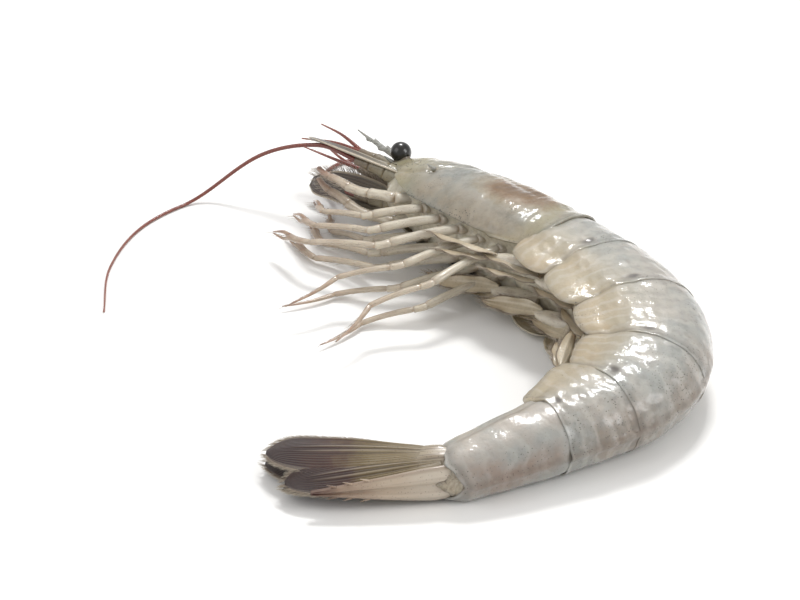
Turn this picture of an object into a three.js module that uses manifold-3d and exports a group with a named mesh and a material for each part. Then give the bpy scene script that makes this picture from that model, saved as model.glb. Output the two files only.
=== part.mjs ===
// A raw whole prawn with its head, shell, legs and tail fan on, lying on its right side with the body curled.
// Millimetres, +Z up, resting on z = 0. The prawn is one solid: every plate and limb is fused to the body.
//
// The spine lies in a plane parallel to the floor. It is a chain of arcs, one for each plate of the shell.
// A place on the prawn is given by how far it is along the spine (at), forward of that (fore),
// towards the back (dorsal) and towards the prawn's left side, which faces up (above).
// A paired piece is made with side = 1 for the upper one and side = -1 for the one near the floor.
import * as THREE from "three";
import { mergeVertices } from "three/addons/utils/BufferGeometryUtils.js";
import Module from "manifold-3d";

// ---- spine ----
const spineStart = { x: 0.8, y: 36 }; // front edge of the carapace
const headToTail = -45; // direction of the carapace on the floor, degrees from +X
const plates = [
  { name: "carapace", length: 38, turn: 5 },
  { name: "segment1", length: 10.5, turn: 3 },
  { name: "segment2", length: 13.5, turn: 12 },
  { name: "segment3", length: 15, turn: 37 },
  { name: "segment4", length: 12.5, turn: 38 },
  { name: "segment5", length: 12, turn: 7 },
  { name: "segment6", length: 20.5, turn: 6 },
  { name: "tailHinge", length: 3, turn: 16 },
  { name: "tailFan", length: 25, turn: 8 },
];

// ---- body: half width, and reach to the back, to the belly and to the tips of the side flaps ----
const bodyShape = [
  { at: -4, side: 3.0, back: 4.2, belly: 4.4, flap: 4.4 },
  { at: 0, side: 4.8, back: 6.0, belly: 6.4, flap: 6.4 },
  { at: 6, side: 6.6, back: 7.6, belly: 8.4, flap: 8.4 },
  { at: 16, side: 8.2, back: 9.3, belly: 9.8, flap: 9.8 },
  { at: 28, side: 8.9, back: 10.4, belly: 9.8, flap: 10.4 },
  { at: 38, side: 8.8, back: 11.0, belly: 8.6, flap: 11.2 },
  { at: 48, side: 8.6, back: 11.4, belly: 7.6, flap: 12.2 },
  { at: 58, side: 8.5, back: 11.7, belly: 7.4, flap: 13.2 },
  { at: 70, side: 8.1, back: 11.5, belly: 7.2, flap: 12.4 },
  { at: 82, side: 7.4, back: 10.4, belly: 6.8, flap: 11.0 },
  { at: 94, side: 6.6, back: 8.8, belly: 6.4, flap: 9.6 },
  { at: 101, side: 6.2, back: 7.8, belly: 6.2, flap: 7.4 },
  { at: 112, side: 5.4, back: 6.6, belly: 6.0, flap: 6.0 },
  { at: 122, side: 4.4, back: 5.2, belly: 5.4, flap: 5.4 },
];
const widestAt = 28;
const sink = 0.45; // how far the soft side is pressed flat where it lies
const sectionPower = 0.88; // below 1 the section is boxier than an ellipse
const carapaceRings = [-3, -1, 1.5, 5, 10, 16, 22, 28, 33, 37];
const lastPlateRings = [-0.06, 0.1, 0.35, 0.65, 0.9, 1.02]; // shares of its length
const hingeRings = [
  { along: -2, grow: 0.92 },
  { along: 1.5, grow: 0.8 },
  { along: 4.5, grow: 0.68 },
];

// ---- plates of the abdomen: how far they stand out and how long their side flaps are, front to rear ----
const shellStep = 0.35;
const shellOverlap = 1.8; // how far each plate reaches over the next one
const hoodRings = [
  { share: -0.1, step: -shellStep, flap: 0.7 },
  { share: 0.08, step: 0, flap: 0.88 },
  { share: 0.4, step: 0.1, flap: 1 },
  { share: 0.8, step: 0.28, flap: 0.95 },
];
const hoodRear = { step: shellStep, flap: 0.8 };
const flapRows = [0.4, 0.75, 1]; // shares of the flap's depth
const flapTuck = 0.24; // how far the flap's tip turns in, as a share of the half width
const flapThickness = 1;

// ---- head: paths are rows of [fore, dorsal, above] from the front edge of the carapace ----
const rostrum = {
  length: 21,
  rootAt: 13,
  rise: 0.9,
  rootDepth: 2.9,
  tipDepth: 0.3,
  tipLift: 1.8,
  thickness: 1.4,
  teeth: 8,
  toothHeight: 1.5,
  frontToothShare: 0.35,
  bareTip: 0.14, // share of the length without teeth
  lowerTeeth: 2,
  lowerToothHeight: 0.4,
  lowerTeethFrom: 0.8, // share of the length that sticks out
};
const eye = { radius: 2, fore: 2.6, dorsal: 1.6, out: 4.9 };
const eyeStalk = { radius: 1.1, path: [[-1, 1, 1.5], [1.4, 1.4, 3], [eye.fore, eye.dorsal, eye.out]] };
const antennaScale = {
  root: [-2, -2.6, 3.6],
  length: 21,
  width: 6.6,
  thickness: 0.9,
  droop: 9,
  roll: 52,
  widest: 0.45,
  baseShare: 0.5,
};
const antennaStem = { radius: [2.2, 1], path: [[-3, -2, 2.4], [3, -3.6, 3.4], [8, -4.6, 3.6]] };
const shortStem = { radius: [1.9, 0.9], path: [[-3, 1, 1.2], [6, 0.6, 1.8], [12, 0.4, 1.9]] };
const shortWhips = {
  radius: [0.6, 0.32],
  paths: [
    [[11, 0.4, 1.9], [18, 1.6, 2.6], [25, 2.8, 1.9]],
    [[11, 0.4, 1.9], [18, -0.4, 1.8], [25, -2.4, 0.8]],
  ],
};
// The long feelers are rows of [fore, dorsal, height over the floor]. The upper one sweeps forward and round,
// and the lower one turns back behind the head.
const longFeeler = {
  radius: [0.55, 0.3],
  upper: [
    [7, -4.6, 12],
    [16, -6.5, 12.8],
    [26, -12, 9],
    [33, -22, 1],
    [33, -36, 0.45],
    [26, -50, 0.45],
    [15, -61, 0.45],
  ],
  lower: [
    [7, -4.6, 4.8],
    [15, -3.5, 2.8],
    [23, 1.5, 0.75],
    [24, 9, 0.45],
    [17, 15, 0.45],
    [6, 16.5, 0.45],
    [-8, 16, 0.45],
    [-22, 16.2, 0.45],
  ],
};
const feedingLimb = {
  radius: [1.7, 0.7],
  path: [[-8, -4.5, 2], [-6, -8.5, 2.6], [4, -10.5, 1.8], [14, -8.5, 1.1]],
};

// ---- legs: lean is the angle of each joint forward of straight down from the belly ----
const legRoot = { depth: 1.6, inside: 4, out: 3 };
const legFall = 2.3; // how far each joint of a leg falls towards the floor
const legTipShare = 0.4;
const walkingLegs = [
  { at: 13, lengths: [11, 9, 8], lean: [50, 82, 118], radius: 1.15, claw: true },
  { at: 18, lengths: [13, 11, 9], lean: [42, 74, 104], radius: 1.15, claw: true },
  { at: 23, lengths: [15, 13, 10], lean: [34, 66, 90], radius: 1.15, claw: true },
  { at: 28, lengths: [14, 12, 10], lean: [20, 38, 8], radius: 1, claw: false },
  { at: 33, lengths: [14, 12, 10], lean: [6, 20, -14], radius: 1, claw: false },
];
const lowerLegLean = 9; // the legs near the floor are pushed this much further forward
const finger = { length: 4, back: 1.4, lift: 0.9, radius: 0.36 };

// ---- swimming legs: each is a stem with two leaves, folded forward under its plate ----
const swimmingStem = { length: 9, radius: [1.9, 1.3], depth: 1.4, out: 3.4 };
const swimmingLeaves = [
  { length: 16, extraLean: 20, out: 0.5 },
  { length: 12, extraLean: 8, out: -0.7 },
];
const swimmingLeaf = { width: 4, thickness: 1, roll: 0.55, back: 1.2 };
const swimmingLegs = {
  segment1: { lean: 62, size: 1 },
  segment2: { lean: 62, size: 1 },
  segment3: { lean: 56, size: 1 },
  segment4: { lean: 40, size: 1 },
  segment5: { lean: 34, size: 0.8 },
};

// ---- tail fan: spread is the angle of a blade's middle line off the spine, towards the belly ----
const telson = { length: 20, width: 6.4, thickness: 2.6, dorsal: 1.6, tipShare: 0.14, taper: 1.15 };
const telsonRings = [-0.12, 0, 0.25, 0.5, 0.75, 0.92, 1];
const fanBlades = [
  { length: 26, width: 8, spread: 6, rootDorsal: -0.4, rootOut: 2.5, tilt: 0.22, slope: -0.13 },
  { length: 29, width: 9.6, spread: 19, rootDorsal: -2.2, rootOut: 3, tilt: 0.02, slope: -0.11 },
];
const fanThickness = 1;
const fanFloorSlope = 0.01; // slope of the blades that lie on the floor
const fanRootBack = 2; // how far the blades start inside the last plate

const floorBlock = { size: 400, depth: 40 };
const shellFinish = { color: 0xb9b6aa, roughness: 0.28, metalness: 0 };

const up = new THREE.Vector3(0, 0, 1);
const { degToRad, lerp, clamp } = THREE.MathUtils;

/** The point, tailward direction and dorsal direction of the spine, a given length from its start. */
function spineAt(at) {
  let { x, y } = spineStart;
  let heading = degToRad(headToTail);
  let left = at;
  for (const { length, turn } of plates) {
    const step = clamp(left, 0, length);
    const bend = -degToRad(turn) * (step / length);
    const radius = -length / degToRad(turn);
    x += radius * (Math.sin(heading + bend) - Math.sin(heading));
    y -= radius * (Math.cos(heading + bend) - Math.cos(heading));
    heading += bend;
    left -= step;
  }
  const tailward = new THREE.Vector3(Math.cos(heading), Math.sin(heading), 0);
  const dorsal = new THREE.Vector3(-Math.sin(heading), Math.cos(heading), 0);
  const point = new THREE.Vector3(x, y, spineHeight(at)).addScaledVector(tailward, left);
  return { point, tailward, dorsal };
}

/** The stiff head stays level with the widest part of the carapace. The rest lies on its side. */
function spineHeight(at) {
  return shapeAt("side", Math.max(at, widestAt)) - sink;
}

/** One value of the body's shape at a length along the spine, on a smooth curve through the listed ones. */
function shapeAt(key, at) {
  const last = bodyShape.length - 1;
  const here = clamp(at, bodyShape[0].at, bodyShape[last].at);
  const from = bodyShape.findLastIndex((row, j) => j < last && row.at <= here);
  const slope = (j) => {
    const [before, after] = [bodyShape[Math.max(j - 1, 0)], bodyShape[Math.min(j + 1, last)]];
    return (after[key] - before[key]) / (after.at - before.at);
  };
  const [a, b] = [bodyShape[from], bodyShape[from + 1]];
  const span = b.at - a.at;
  const t = (here - a.at) / span;
  const smooth = t * t * (3 - 2 * t);
  const leaving = t * (1 - t) ** 2 * span * slope(from);
  const arriving = t * t * (t - 1) * span * slope(from + 1);
  return lerp(a[key], b[key], smooth) + leaving + arriving;
}

/** The whole section of the body at a length along the spine, grown by a share. */
function sectionAt(at, grow) {
  const values = ["side", "back", "belly", "flap"].map((key) => [key, shapeAt(key, at) * grow]);
  return Object.fromEntries(values);
}

/** A place on the prawn, as a point. */
function place(at, fore, dorsal, above) {
  const here = spineAt(at);
  return here.point
    .addScaledVector(here.tailward, -fore)
    .addScaledVector(here.dorsal, dorsal)
    .addScaledVector(up, above);
}

/** Points from rows of [fore, dorsal, above] on the head, on one side of it. */
function headPath(rows, side) {
  return rows.map(([fore, dorsal, above]) => place(0, fore, dorsal, side * above));
}

/** The direction at an angle from straight down off the belly, turned forward. */
function forwardOfDown(at, angle) {
  const { tailward, dorsal } = spineAt(at);
  const down = dorsal.multiplyScalar(-Math.cos(degToRad(angle)));
  return down.addScaledVector(tailward, -Math.sin(degToRad(angle)));
}

/** A closed solid through rings of as many points each. Caps close its ends, and its faces point out. */
function loft(rings) {
  const count = rings[0].length;
  const points = rings.flat();
  const index = [];
  for (let i = 0; i + 1 < rings.length; i++) {
    for (let j = 0; j < count; j++) {
      const k = (j + 1) % count;
      const [a, b, c, d] = [i * count + j, i * count + k, (i + 1) * count + k, (i + 1) * count + j];
      index.push(a, b, c, a, c, d);
    }
  }
  index.push(...capOf(rings[0]).reverse());
  index.push(...capOf(rings.at(-1)).map((j) => j + points.length - count));
  let volume = 0;
  for (let i = 0; i < index.length; i += 3) {
    volume += points[index[i]].dot(points[index[i + 1]].clone().cross(points[index[i + 2]]));
  }
  const geometry = new THREE.BufferGeometry().setFromPoints(points);
  geometry.setIndex(volume > 0 ? index : index.reverse());
  return geometry;
}

/** Triangles that fill a ring of points, as places in the ring. */
function capOf(ring) {
  const centre = ring.reduce((sum, p) => sum.add(p), new THREE.Vector3()).divideScalar(ring.length);
  const arms = ring.map((p) => p.clone().sub(centre));
  const normal = new THREE.Vector3();
  arms.forEach((arm, j) => normal.add(arm.clone().cross(arms[(j + 1) % arms.length])));
  const across = arms[0].clone().normalize();
  const along = normal.normalize().cross(across);
  const flat = arms.map((arm) => new THREE.Vector2(arm.dot(across), arm.dot(along)));
  return THREE.ShapeUtils.triangulateShape(flat, []).flat();
}

/** A ring round the spine from pairs of numbers: above the spine, and towards the back. */
function ringAt(at, pairs) {
  return pairs.map(([above, dorsal]) => place(at, 0, dorsal, above));
}

/** A ring of points round an axis, from its half size along two directions. */
function ellipse(centre, first, firstSize, second, secondSize, sides) {
  return Array.from({ length: sides }, (_, j) => {
    const angle = (j / sides) * 2 * Math.PI;
    return centre
      .clone()
      .addScaledVector(first, firstSize * Math.cos(angle))
      .addScaledVector(second, secondSize * Math.sin(angle));
  });
}

/** A sine or cosine drawn out towards the corners of its square. */
function boxier(value) {
  return Math.sign(value) * Math.abs(value) ** sectionPower;
}

/** The section of the body without its flaps. */
function closedRing(at, grow = 1, count = 24) {
  const { side, back, belly } = sectionAt(at, grow);
  const pairs = Array.from({ length: count }, (_, j) => {
    const angle = (j / count) * 2 * Math.PI;
    const dorsal = boxier(Math.cos(angle));
    return [side * boxier(Math.sin(angle)), dorsal * (dorsal > 0 ? back : belly)];
  });
  return ringAt(at, pairs);
}

/** The section of a plate of the abdomen: over the back, down a flap, and across the belly to the other. */
function hoodRing(at, grow, flapShare) {
  const { side, back, belly, flap } = sectionAt(at, grow);
  const depth = Math.max(flap * flapShare, belly + flapThickness / 5);
  const upperSteps = 6;
  const half = Array.from({ length: upperSteps + 1 }, (_, j) => {
    const angle = (j / upperSteps) * (Math.PI / 2);
    return [side * boxier(Math.sin(angle)), back * boxier(Math.cos(angle))];
  });
  for (const row of flapRows) half.push([side * (1 - flapTuck * row ** 2), -depth * row]);
  const inside = side * (1 - flapTuck) - flapThickness;
  half.push([inside, -depth + flapThickness / 10], [inside - flapThickness / 2, -belly]);
  const mirrored = half.slice(1).reverse();
  return ringAt(at, [...half, ...mirrored.map(([above, dorsal]) => [-above, dorsal])]);
}

/** One plate of the abdomen. It widens to a lip that covers the front of the next plate. */
function abdomenPlate(start, length) {
  const stations = [...hoodRings, { share: 1 + shellOverlap / length, ...hoodRear }];
  const rings = stations.map(({ share, step, flap }) => {
    const at = start + share * length;
    return hoodRing(at, 1 + step / shapeAt("side", at), flap);
  });
  return loft(rings);
}

/** The head shield, with its front drawn in behind the eyes and its rear edge over the first plate. */
function carapace(length) {
  const rear = length + shellOverlap;
  const lip = closedRing(rear, 1 + (2 * shellStep) / shapeAt("side", rear));
  return loft([...carapaceRings.map((at) => closedRing(at)), lip]);
}

/** The last plate, a long narrow tube that carries the tail fan. */
function lastPlate(start, length) {
  return loft(lastPlateRings.map((share) => closedRing(start + share * length)));
}

/** The knuckle that the tail fan turns on. */
function tailHinge(start) {
  return loft(hingeRings.map(({ along, grow }) => closedRing(start + along, grow, 12)));
}

/** A limb: a tapered tube along a curve through the points. */
function limb(points, [rootRadius, tipRadius], { steps = 8, sides = 5 } = {}) {
  const curve = new THREE.CatmullRomCurve3(points, false, "centripetal");
  const { normals, binormals } = curve.computeFrenetFrames(steps, false);
  const rings = normals.map((normal, i) => {
    const radius = lerp(rootRadius, tipRadius, i / steps);
    return ellipse(curve.getPointAt(i / steps), normal, radius, binormals[i], radius, sides);
  });
  return loft(rings);
}

/** A leaf-shaped blade that starts narrow, is widest some way along and ends round. */
function blade(root, along, across, size, steps, sides) {
  const { length, width, thickness, widest = 0.62, baseShare = 0.35 } = size;
  const level = across.clone().addScaledVector(along, -across.dot(along)).normalize();
  const face = along.clone().cross(level);
  const bluntTip = 0.3;
  const thinTip = 0.65;
  const rings = Array.from({ length: steps + 1 }, (_, i) => {
    const t = i / steps;
    const rising = lerp(baseShare, 1, Math.sin((Math.min(t / widest, 1) * Math.PI) / 2));
    const falling = Math.sqrt(1 - Math.max((t - widest) / (1 - widest), 0) ** 2);
    const halfWidth = (width / 2) * Math.min(rising, Math.max(falling, bluntTip));
    const halfThickness = (thickness / 2) * lerp(1, thinTip, t);
    const centre = root.clone().addScaledVector(along, t * length);
    return ellipse(centre, level, halfWidth, face, halfThickness, sides);
  });
  return loft(rings);
}

/** The saw-toothed spike between the eyes, with the crest that carries it back along the carapace. */
function rostrumBlade() {
  const { length, rootAt, rise, rootDepth, tipDepth, thickness, teeth, toothHeight } = rostrum;
  const toothed = (length + rootAt) * (1 - rostrum.bareTip);
  const top = (fore) => {
    const spike = shapeAt("back", 0) + rise + rostrum.tipLift * (Math.max(fore, 0) / length) ** 2;
    return Math.max(spike, fore < 0 ? shapeAt("back", -fore) + rise / 2 : 0);
  };
  const bottom = (fore) => top(fore) - lerp(rootDepth, tipDepth, Math.max(fore, 0) / length);
  const outline = new THREE.Shape();
  outline.moveTo(-rootAt, bottom(-rootAt));
  for (let k = 0; k < teeth; k++) {
    const [from, to] = [k, k + 1].map((step) => (toothed * step) / teeth - rootAt);
    const height = toothHeight * lerp(1, rostrum.frontToothShare, k / teeth);
    outline.lineTo(from, top(from));
    outline.lineTo(lerp(from, to, 0.75), top(to) + height);
  }
  outline.lineTo(length, top(length));
  for (let k = 0; k < rostrum.lowerTeeth; k++) {
    const fore = length * (rostrum.lowerTeethFrom - 0.2 * k);
    outline.lineTo(fore + 1, bottom(fore) - rostrum.lowerToothHeight);
    outline.lineTo(fore - 1, bottom(fore));
  }
  outline.lineTo(0, bottom(0));
  outline.closePath();
  const geometry = new THREE.ExtrudeGeometry(outline, { depth: thickness, bevelEnabled: false, steps: 1 });
  geometry.translate(0, 0, -thickness / 2);
  const { point, tailward, dorsal } = spineAt(0);
  const forward = tailward.negate();
  const basis = new THREE.Matrix4().makeBasis(forward, dorsal, forward.clone().cross(dorsal));
  return geometry.applyMatrix4(basis.setPosition(point));
}

/** An eye on its short stalk. */
function eyeAndStalk(side) {
  const centre = place(0, eye.fore, eye.dorsal, side * eye.out);
  const ball = new THREE.SphereGeometry(eye.radius, 12, 8).translate(...centre.toArray());
  const stalk = limb(headPath(eyeStalk.path, side), [eyeStalk.radius, eyeStalk.radius], { steps: 2 });
  return [ball, stalk];
}

/** The flat scale beside the mouth, over the thick root of the long feeler. */
function antennaScaleAndStem(side) {
  const { root, droop, roll } = antennaScale;
  const across = spineAt(0).dorsal.multiplyScalar(Math.sin(degToRad(roll)));
  across.addScaledVector(up, -side * Math.cos(degToRad(roll)));
  const [rootPoint] = headPath([root], side);
  const plate = blade(rootPoint, forwardOfDown(0, 90 - droop), across, antennaScale, 6, 8);
  return [plate, limb(headPath(antennaStem.path, side), antennaStem.radius, { steps: 4 })];
}

/** The jointed stem above it, which ends in two short whips. */
function shortFeelers(side) {
  const stem = limb(headPath(shortStem.path, side), shortStem.radius, { steps: 4 });
  const whips = shortWhips.paths.map((path) => limb(headPath(path, side), shortWhips.radius, { steps: 5 }));
  return [stem, ...whips];
}

/** A long feeler, which runs out from its stem and lies on the floor. */
function longFeelerWhip(side) {
  const rows = side > 0 ? longFeeler.upper : longFeeler.lower;
  const points = rows.map(([fore, dorsal, height]) => place(0, fore, dorsal, height - spineHeight(0)));
  return limb(points, longFeeler.radius, { steps: 26 });
}

/** The points of a leg's joints, from inside the body to its tip, falling towards the floor. */
function legJoints(leg, side) {
  const floor = leg.radius - spineHeight(leg.at);
  const here = { fore: 0, dorsal: legRoot.depth - shapeAt("belly", leg.at), above: side * legRoot.out };
  const joints = [
    place(leg.at, 0, here.dorsal + legRoot.inside, here.above * 0.6),
    place(leg.at, 0, here.dorsal, here.above),
  ];
  leg.lengths.forEach((length, joint) => {
    const lean = degToRad(leg.lean[joint] + (side > 0 ? 0 : lowerLegLean));
    here.fore += length * Math.sin(lean);
    here.dorsal -= length * Math.cos(lean);
    here.above = Math.max(here.above - legFall, floor);
    joints.push(place(leg.at, here.fore, here.dorsal, here.above));
  });
  return joints;
}

/** One walking leg. The first three pairs end in a small pincer. */
function walkingLeg(leg, side) {
  const joints = legJoints(leg, side);
  const pieces = [limb(joints, [leg.radius, leg.radius * legTipShare])];
  if (leg.claw) {
    const [before, tip] = joints.slice(-2);
    const onward = tip.clone().sub(before).normalize();
    const start = tip.clone().addScaledVector(onward, -finger.back);
    const middle = tip.clone().addScaledVector(up, finger.lift / 2);
    const end = start.clone().addScaledVector(onward, finger.length).addScaledVector(up, finger.lift);
    pieces.push(limb([start, middle, end], [finger.radius, finger.radius], { steps: 2 }));
  }
  return pieces;
}

/** A swimming leg under one plate: a stem, and two leaves folded forward. */
function swimmingLeg(at, { lean, size }, side) {
  const { depth, out, radius } = swimmingStem;
  const root = place(at, 0, depth - shapeAt("belly", at), side * out);
  const stemEnd = root.clone().addScaledVector(forwardOfDown(at, lean), swimmingStem.length * size);
  const stem = [root, root.clone().lerp(stemEnd, 0.5), stemEnd];
  const { thickness } = swimmingLeaf;
  const width = swimmingLeaf.width * size;
  const leaves = swimmingLeaves.map((leaf) => {
    const length = leaf.length * size;
    const angle = lean + leaf.extraLean;
    const along = forwardOfDown(at, angle).addScaledVector(up, side > 0 ? -0.1 : -0.02).normalize();
    const across = forwardOfDown(at, angle - 90).addScaledVector(up, side * swimmingLeaf.roll);
    const leafRoot = stemEnd.clone().addScaledVector(along, -swimmingLeaf.back);
    leafRoot.addScaledVector(up, side * leaf.out);
    return blade(leafRoot, along, across, { length, width, thickness }, 4, 6);
  });
  return [limb(stem, radius.map((value) => value * size), { steps: 2 }), ...leaves];
}

/** The pointed middle of the tail fan, on the side of the back. */
function telsonSpike(start) {
  const sides = 8;
  const rings = telsonRings.map((share) => {
    const narrow = lerp(1, telson.tipShare, Math.max(share, 0) ** telson.taper);
    const centre = place(start + share * telson.length, 0, telson.dorsal, 0);
    const { dorsal } = spineAt(start + share * telson.length);
    const halfThickness = (telson.thickness / 2) * lerp(0.3, 1, narrow);
    return ellipse(centre, up, (telson.width / 2) * narrow, dorsal, halfThickness, sides);
  });
  return loft(rings);
}

/** The two blades on one side of the tail fan, folded down beside the telson. */
function sideOfFan(start, side) {
  const { tailward, dorsal } = spineAt(start + telson.length * 0.4);
  return fanBlades.map(({ length, width, spread, rootDorsal, rootOut, tilt, slope }) => {
    const along = tailward.clone().multiplyScalar(Math.cos(degToRad(spread)));
    along.addScaledVector(dorsal, -Math.sin(degToRad(spread)));
    along.addScaledVector(up, side > 0 ? slope : fanFloorSlope).normalize();
    const across = dorsal.clone().negate().addScaledVector(up, side * tilt);
    const root = place(start - fanRootBack, 0, rootDorsal, side > 0 ? rootOut : 0.4 - rootOut);
    return blade(root, along, across, { length, width, thickness: fanThickness }, 7, 8);
  });
}

/** What belongs to one plate of the shell, a given length from the start of the spine. */
function piecesOfPlate({ name, length }, start) {
  if (name === "carapace") return [carapace(length)];
  if (name === "segment6") return [lastPlate(start, length)];
  if (name === "tailHinge") return [tailHinge(start)];
  if (name === "tailFan") return [telsonSpike(start), ...sideOfFan(start, 1), ...sideOfFan(start, -1)];
  const legs = [1, -1].flatMap((side) => swimmingLeg(start + length / 2, swimmingLegs[name], side));
  return [abdomenPlate(start, length), ...legs];
}

/** The limbs on one side of the head. */
function limbsOfHead(side) {
  return [
    ...eyeAndStalk(side),
    ...antennaScaleAndStem(side),
    ...shortFeelers(side),
    longFeelerWhip(side),
    limb(headPath(feedingLimb.path, side), feedingLimb.radius),
    ...walkingLegs.flatMap((leg) => walkingLeg(leg, side)),
  ];
}

const wasm = await Module();
wasm.setup();

/** A closed geometry as a solid that can be joined and cut. */
function solidOf(geometry) {
  const bare = geometry.clone();
  bare.deleteAttribute("normal");
  bare.deleteAttribute("uv");
  const merged = mergeVertices(bare, 1e-4);
  const mesh = new wasm.Mesh({
    numProp: 3,
    vertProperties: new Float32Array(merged.attributes.position.array),
    triVerts: new Uint32Array(merged.index.array),
  });
  return new wasm.Manifold(mesh);
}

/** The solid back as a geometry. */
function geometryOf(solid) {
  const { vertProperties, triVerts } = solid.getMesh();
  const geometry = new THREE.BufferGeometry();
  geometry.setAttribute("position", new THREE.BufferAttribute(vertProperties, 3));
  geometry.setIndex(new THREE.BufferAttribute(triVerts, 1));
  geometry.computeVertexNormals();
  return geometry;
}

const pieces = [rostrumBlade(), ...limbsOfHead(1), ...limbsOfHead(-1)];
plates.reduce((start, plate) => {
  pieces.push(...piecesOfPlate(plate, start));
  return start + plate.length;
}, 0);

const { size, depth } = floorBlock;
const floor = new THREE.BoxGeometry(size, size, depth).translate(0, 0, -depth / 2);
const joined = pieces.map(solidOf).reduce((sum, piece) => sum.add(piece)).subtract(solidOf(floor));
// Small hollows between the limbs come out as bodies of their own with a negative volume, and are left out.
const whole = joined.decompose().reduce((best, body) => (body.volume() > best.volume() ? body : best));

const prawnMesh = new THREE.Mesh(geometryOf(whole), new THREE.MeshStandardMaterial(shellFinish));
prawnMesh.name = "prawn";

const prawn = new THREE.Group();
prawn.add(prawnMesh);
export default prawn;
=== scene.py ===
from functools import partial
from math import cos, pi, radians, sin

import bpy
import numpy as np
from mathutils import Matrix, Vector


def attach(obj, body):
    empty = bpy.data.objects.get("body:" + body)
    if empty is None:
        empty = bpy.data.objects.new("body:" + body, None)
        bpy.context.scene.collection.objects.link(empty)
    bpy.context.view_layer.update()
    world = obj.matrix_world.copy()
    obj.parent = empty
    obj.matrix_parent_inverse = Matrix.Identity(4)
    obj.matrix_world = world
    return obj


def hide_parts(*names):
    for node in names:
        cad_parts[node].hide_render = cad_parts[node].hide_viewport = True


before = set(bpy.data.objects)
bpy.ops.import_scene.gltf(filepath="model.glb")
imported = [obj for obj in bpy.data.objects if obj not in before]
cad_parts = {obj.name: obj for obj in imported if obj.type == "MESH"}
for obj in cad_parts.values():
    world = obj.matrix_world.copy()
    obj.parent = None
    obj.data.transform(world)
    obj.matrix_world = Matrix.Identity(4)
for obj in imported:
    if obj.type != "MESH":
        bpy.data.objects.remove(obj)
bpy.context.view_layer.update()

mm = 0.001
up = np.array((0.0, 0.0, 1.0))

# A raw prawn on its right side. Shapes are worked out in mm over the body's middle line, the spine.
# at = along the spine, fore = forward of that, dorsal = towards the back, above = towards the upper side.

spine = {
    "start": (0.8, 36.0),  # front edge of the head shield
    "heading": -45,
    "arcs": {  # length in mm, turn in degrees
        "headShield": (38, 5), "plate1": (10.5, 3), "plate2": (13.5, 12), "plate3": (15, 37),
        "plate4": (12.5, 38), "plate5": (12, 7), "plate6": (20.5, 6), "hinge": (3, 16), "fan": (25, 8),
    },
}
bodyShape = {  # half width, then reach to the back, the belly and the tips of the side flaps
    "at": (-4, 0, 6, 16, 28, 38, 48, 58, 70, 82, 94, 101, 112, 122),
    "side": (3.0, 4.8, 6.6, 8.2, 8.9, 8.8, 8.6, 8.5, 8.1, 7.4, 6.6, 6.2, 5.4, 4.4),
    "back": (4.2, 6.0, 7.6, 9.3, 10.4, 11.0, 11.4, 11.7, 11.5, 10.4, 8.8, 7.8, 6.6, 5.2),
    "belly": (4.4, 6.4, 8.4, 9.8, 9.8, 8.6, 7.6, 7.4, 7.2, 6.8, 6.4, 6.2, 6.0, 5.4),
    "flap": (4.4, 6.4, 8.4, 9.8, 10.4, 11.2, 12.2, 13.2, 12.4, 11.0, 9.6, 7.4, 6.0, 5.4),
    "sink": 0.45, "widestAt": 28, "boxPower": 0.88,
}


def curveThrough(stops, values, here):
    # a smooth curve through the values, read off at any places
    stops, values = np.array(stops, float), np.array(values, float)
    here = np.clip(here, stops[0], stops[-1])
    order = np.arange(len(stops))
    before, after = np.maximum(order - 1, 0), np.minimum(order + 1, len(stops) - 1)
    slope = (values[after] - values[before]) / (stops[after] - stops[before])
    i = np.clip(np.searchsorted(stops, here, "right") - 1, 0, len(stops) - 2)
    span = stops[i + 1] - stops[i]
    t = (here - stops[i]) / span
    smooth = t * t * (3 - 2 * t)
    leaving = t * (1 - t) ** 2 * span * slope[i]
    arriving = t * t * (t - 1) * span * slope[i + 1]
    return values[i] * (1 - smooth) + values[i + 1] * smooth + leaving + arriving


def bodySize(key, at):
    return curveThrough(bodyShape["at"], bodyShape[key], at)


def spineAt(at):
    at = np.asarray(at, float)
    x, y = (np.full(at.shape, value) for value in spine["start"])
    heading = np.full(at.shape, radians(spine["heading"]))
    left = at.copy()
    for length, turn in spine["arcs"].values():
        step = np.clip(left, 0, length)
        bend = -radians(turn) * step / length
        radius = -length / radians(turn)
        x = x + radius * (np.sin(heading + bend) - np.sin(heading))
        y = y - radius * (np.cos(heading + bend) - np.cos(heading))
        heading = heading + bend
        left = left - step
    height = bodySize("side", np.maximum(at, bodyShape["widestAt"])) - bodyShape["sink"]
    flat = np.zeros(at.shape)
    tailward = np.stack([np.cos(heading), np.sin(heading), flat], -1)
    dorsal = np.stack([-np.sin(heading), np.cos(heading), flat], -1)
    return np.stack([x, y, height], -1) + tailward * left[..., None], tailward, dorsal


def place(at, fore=0.0, dorsal=0.0, above=0.0):
    point, tailward, back = spineAt(at)
    fore, dorsal, above = (np.asarray(value, float)[..., None] for value in (fore, dorsal, above))
    return point - tailward * fore + back * dorsal + up * above


def arcStart(name):
    names = list(spine["arcs"])
    return sum(spine["arcs"][earlier][0] for earlier in names[:names.index(name)])


def boxier(value):
    return np.sign(value) * np.abs(value) ** bodyShape["boxPower"]


def skin(at, angle, grow=0.0):
    # how far above and towards the back the skin is.
    # The angle is in degrees from the back, + on the upper side
    turn = np.radians(angle)
    back, belly = (bodySize(key, at) for key in ("back", "belly"))
    reach = np.where(np.cos(turn) > 0, back, belly)
    return (bodySize("side", at) + grow) * boxier(np.sin(turn)), (reach + grow) * boxier(np.cos(turn))


def pressFlat(points, soft=0.6):
    # what would go through the floor lies on it
    height = points[..., 2]
    pressed = soft * np.exp(np.minimum(height - soft, 0) / soft)
    points[..., 2] = np.where(height < soft, pressed, height)
    return points


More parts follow.
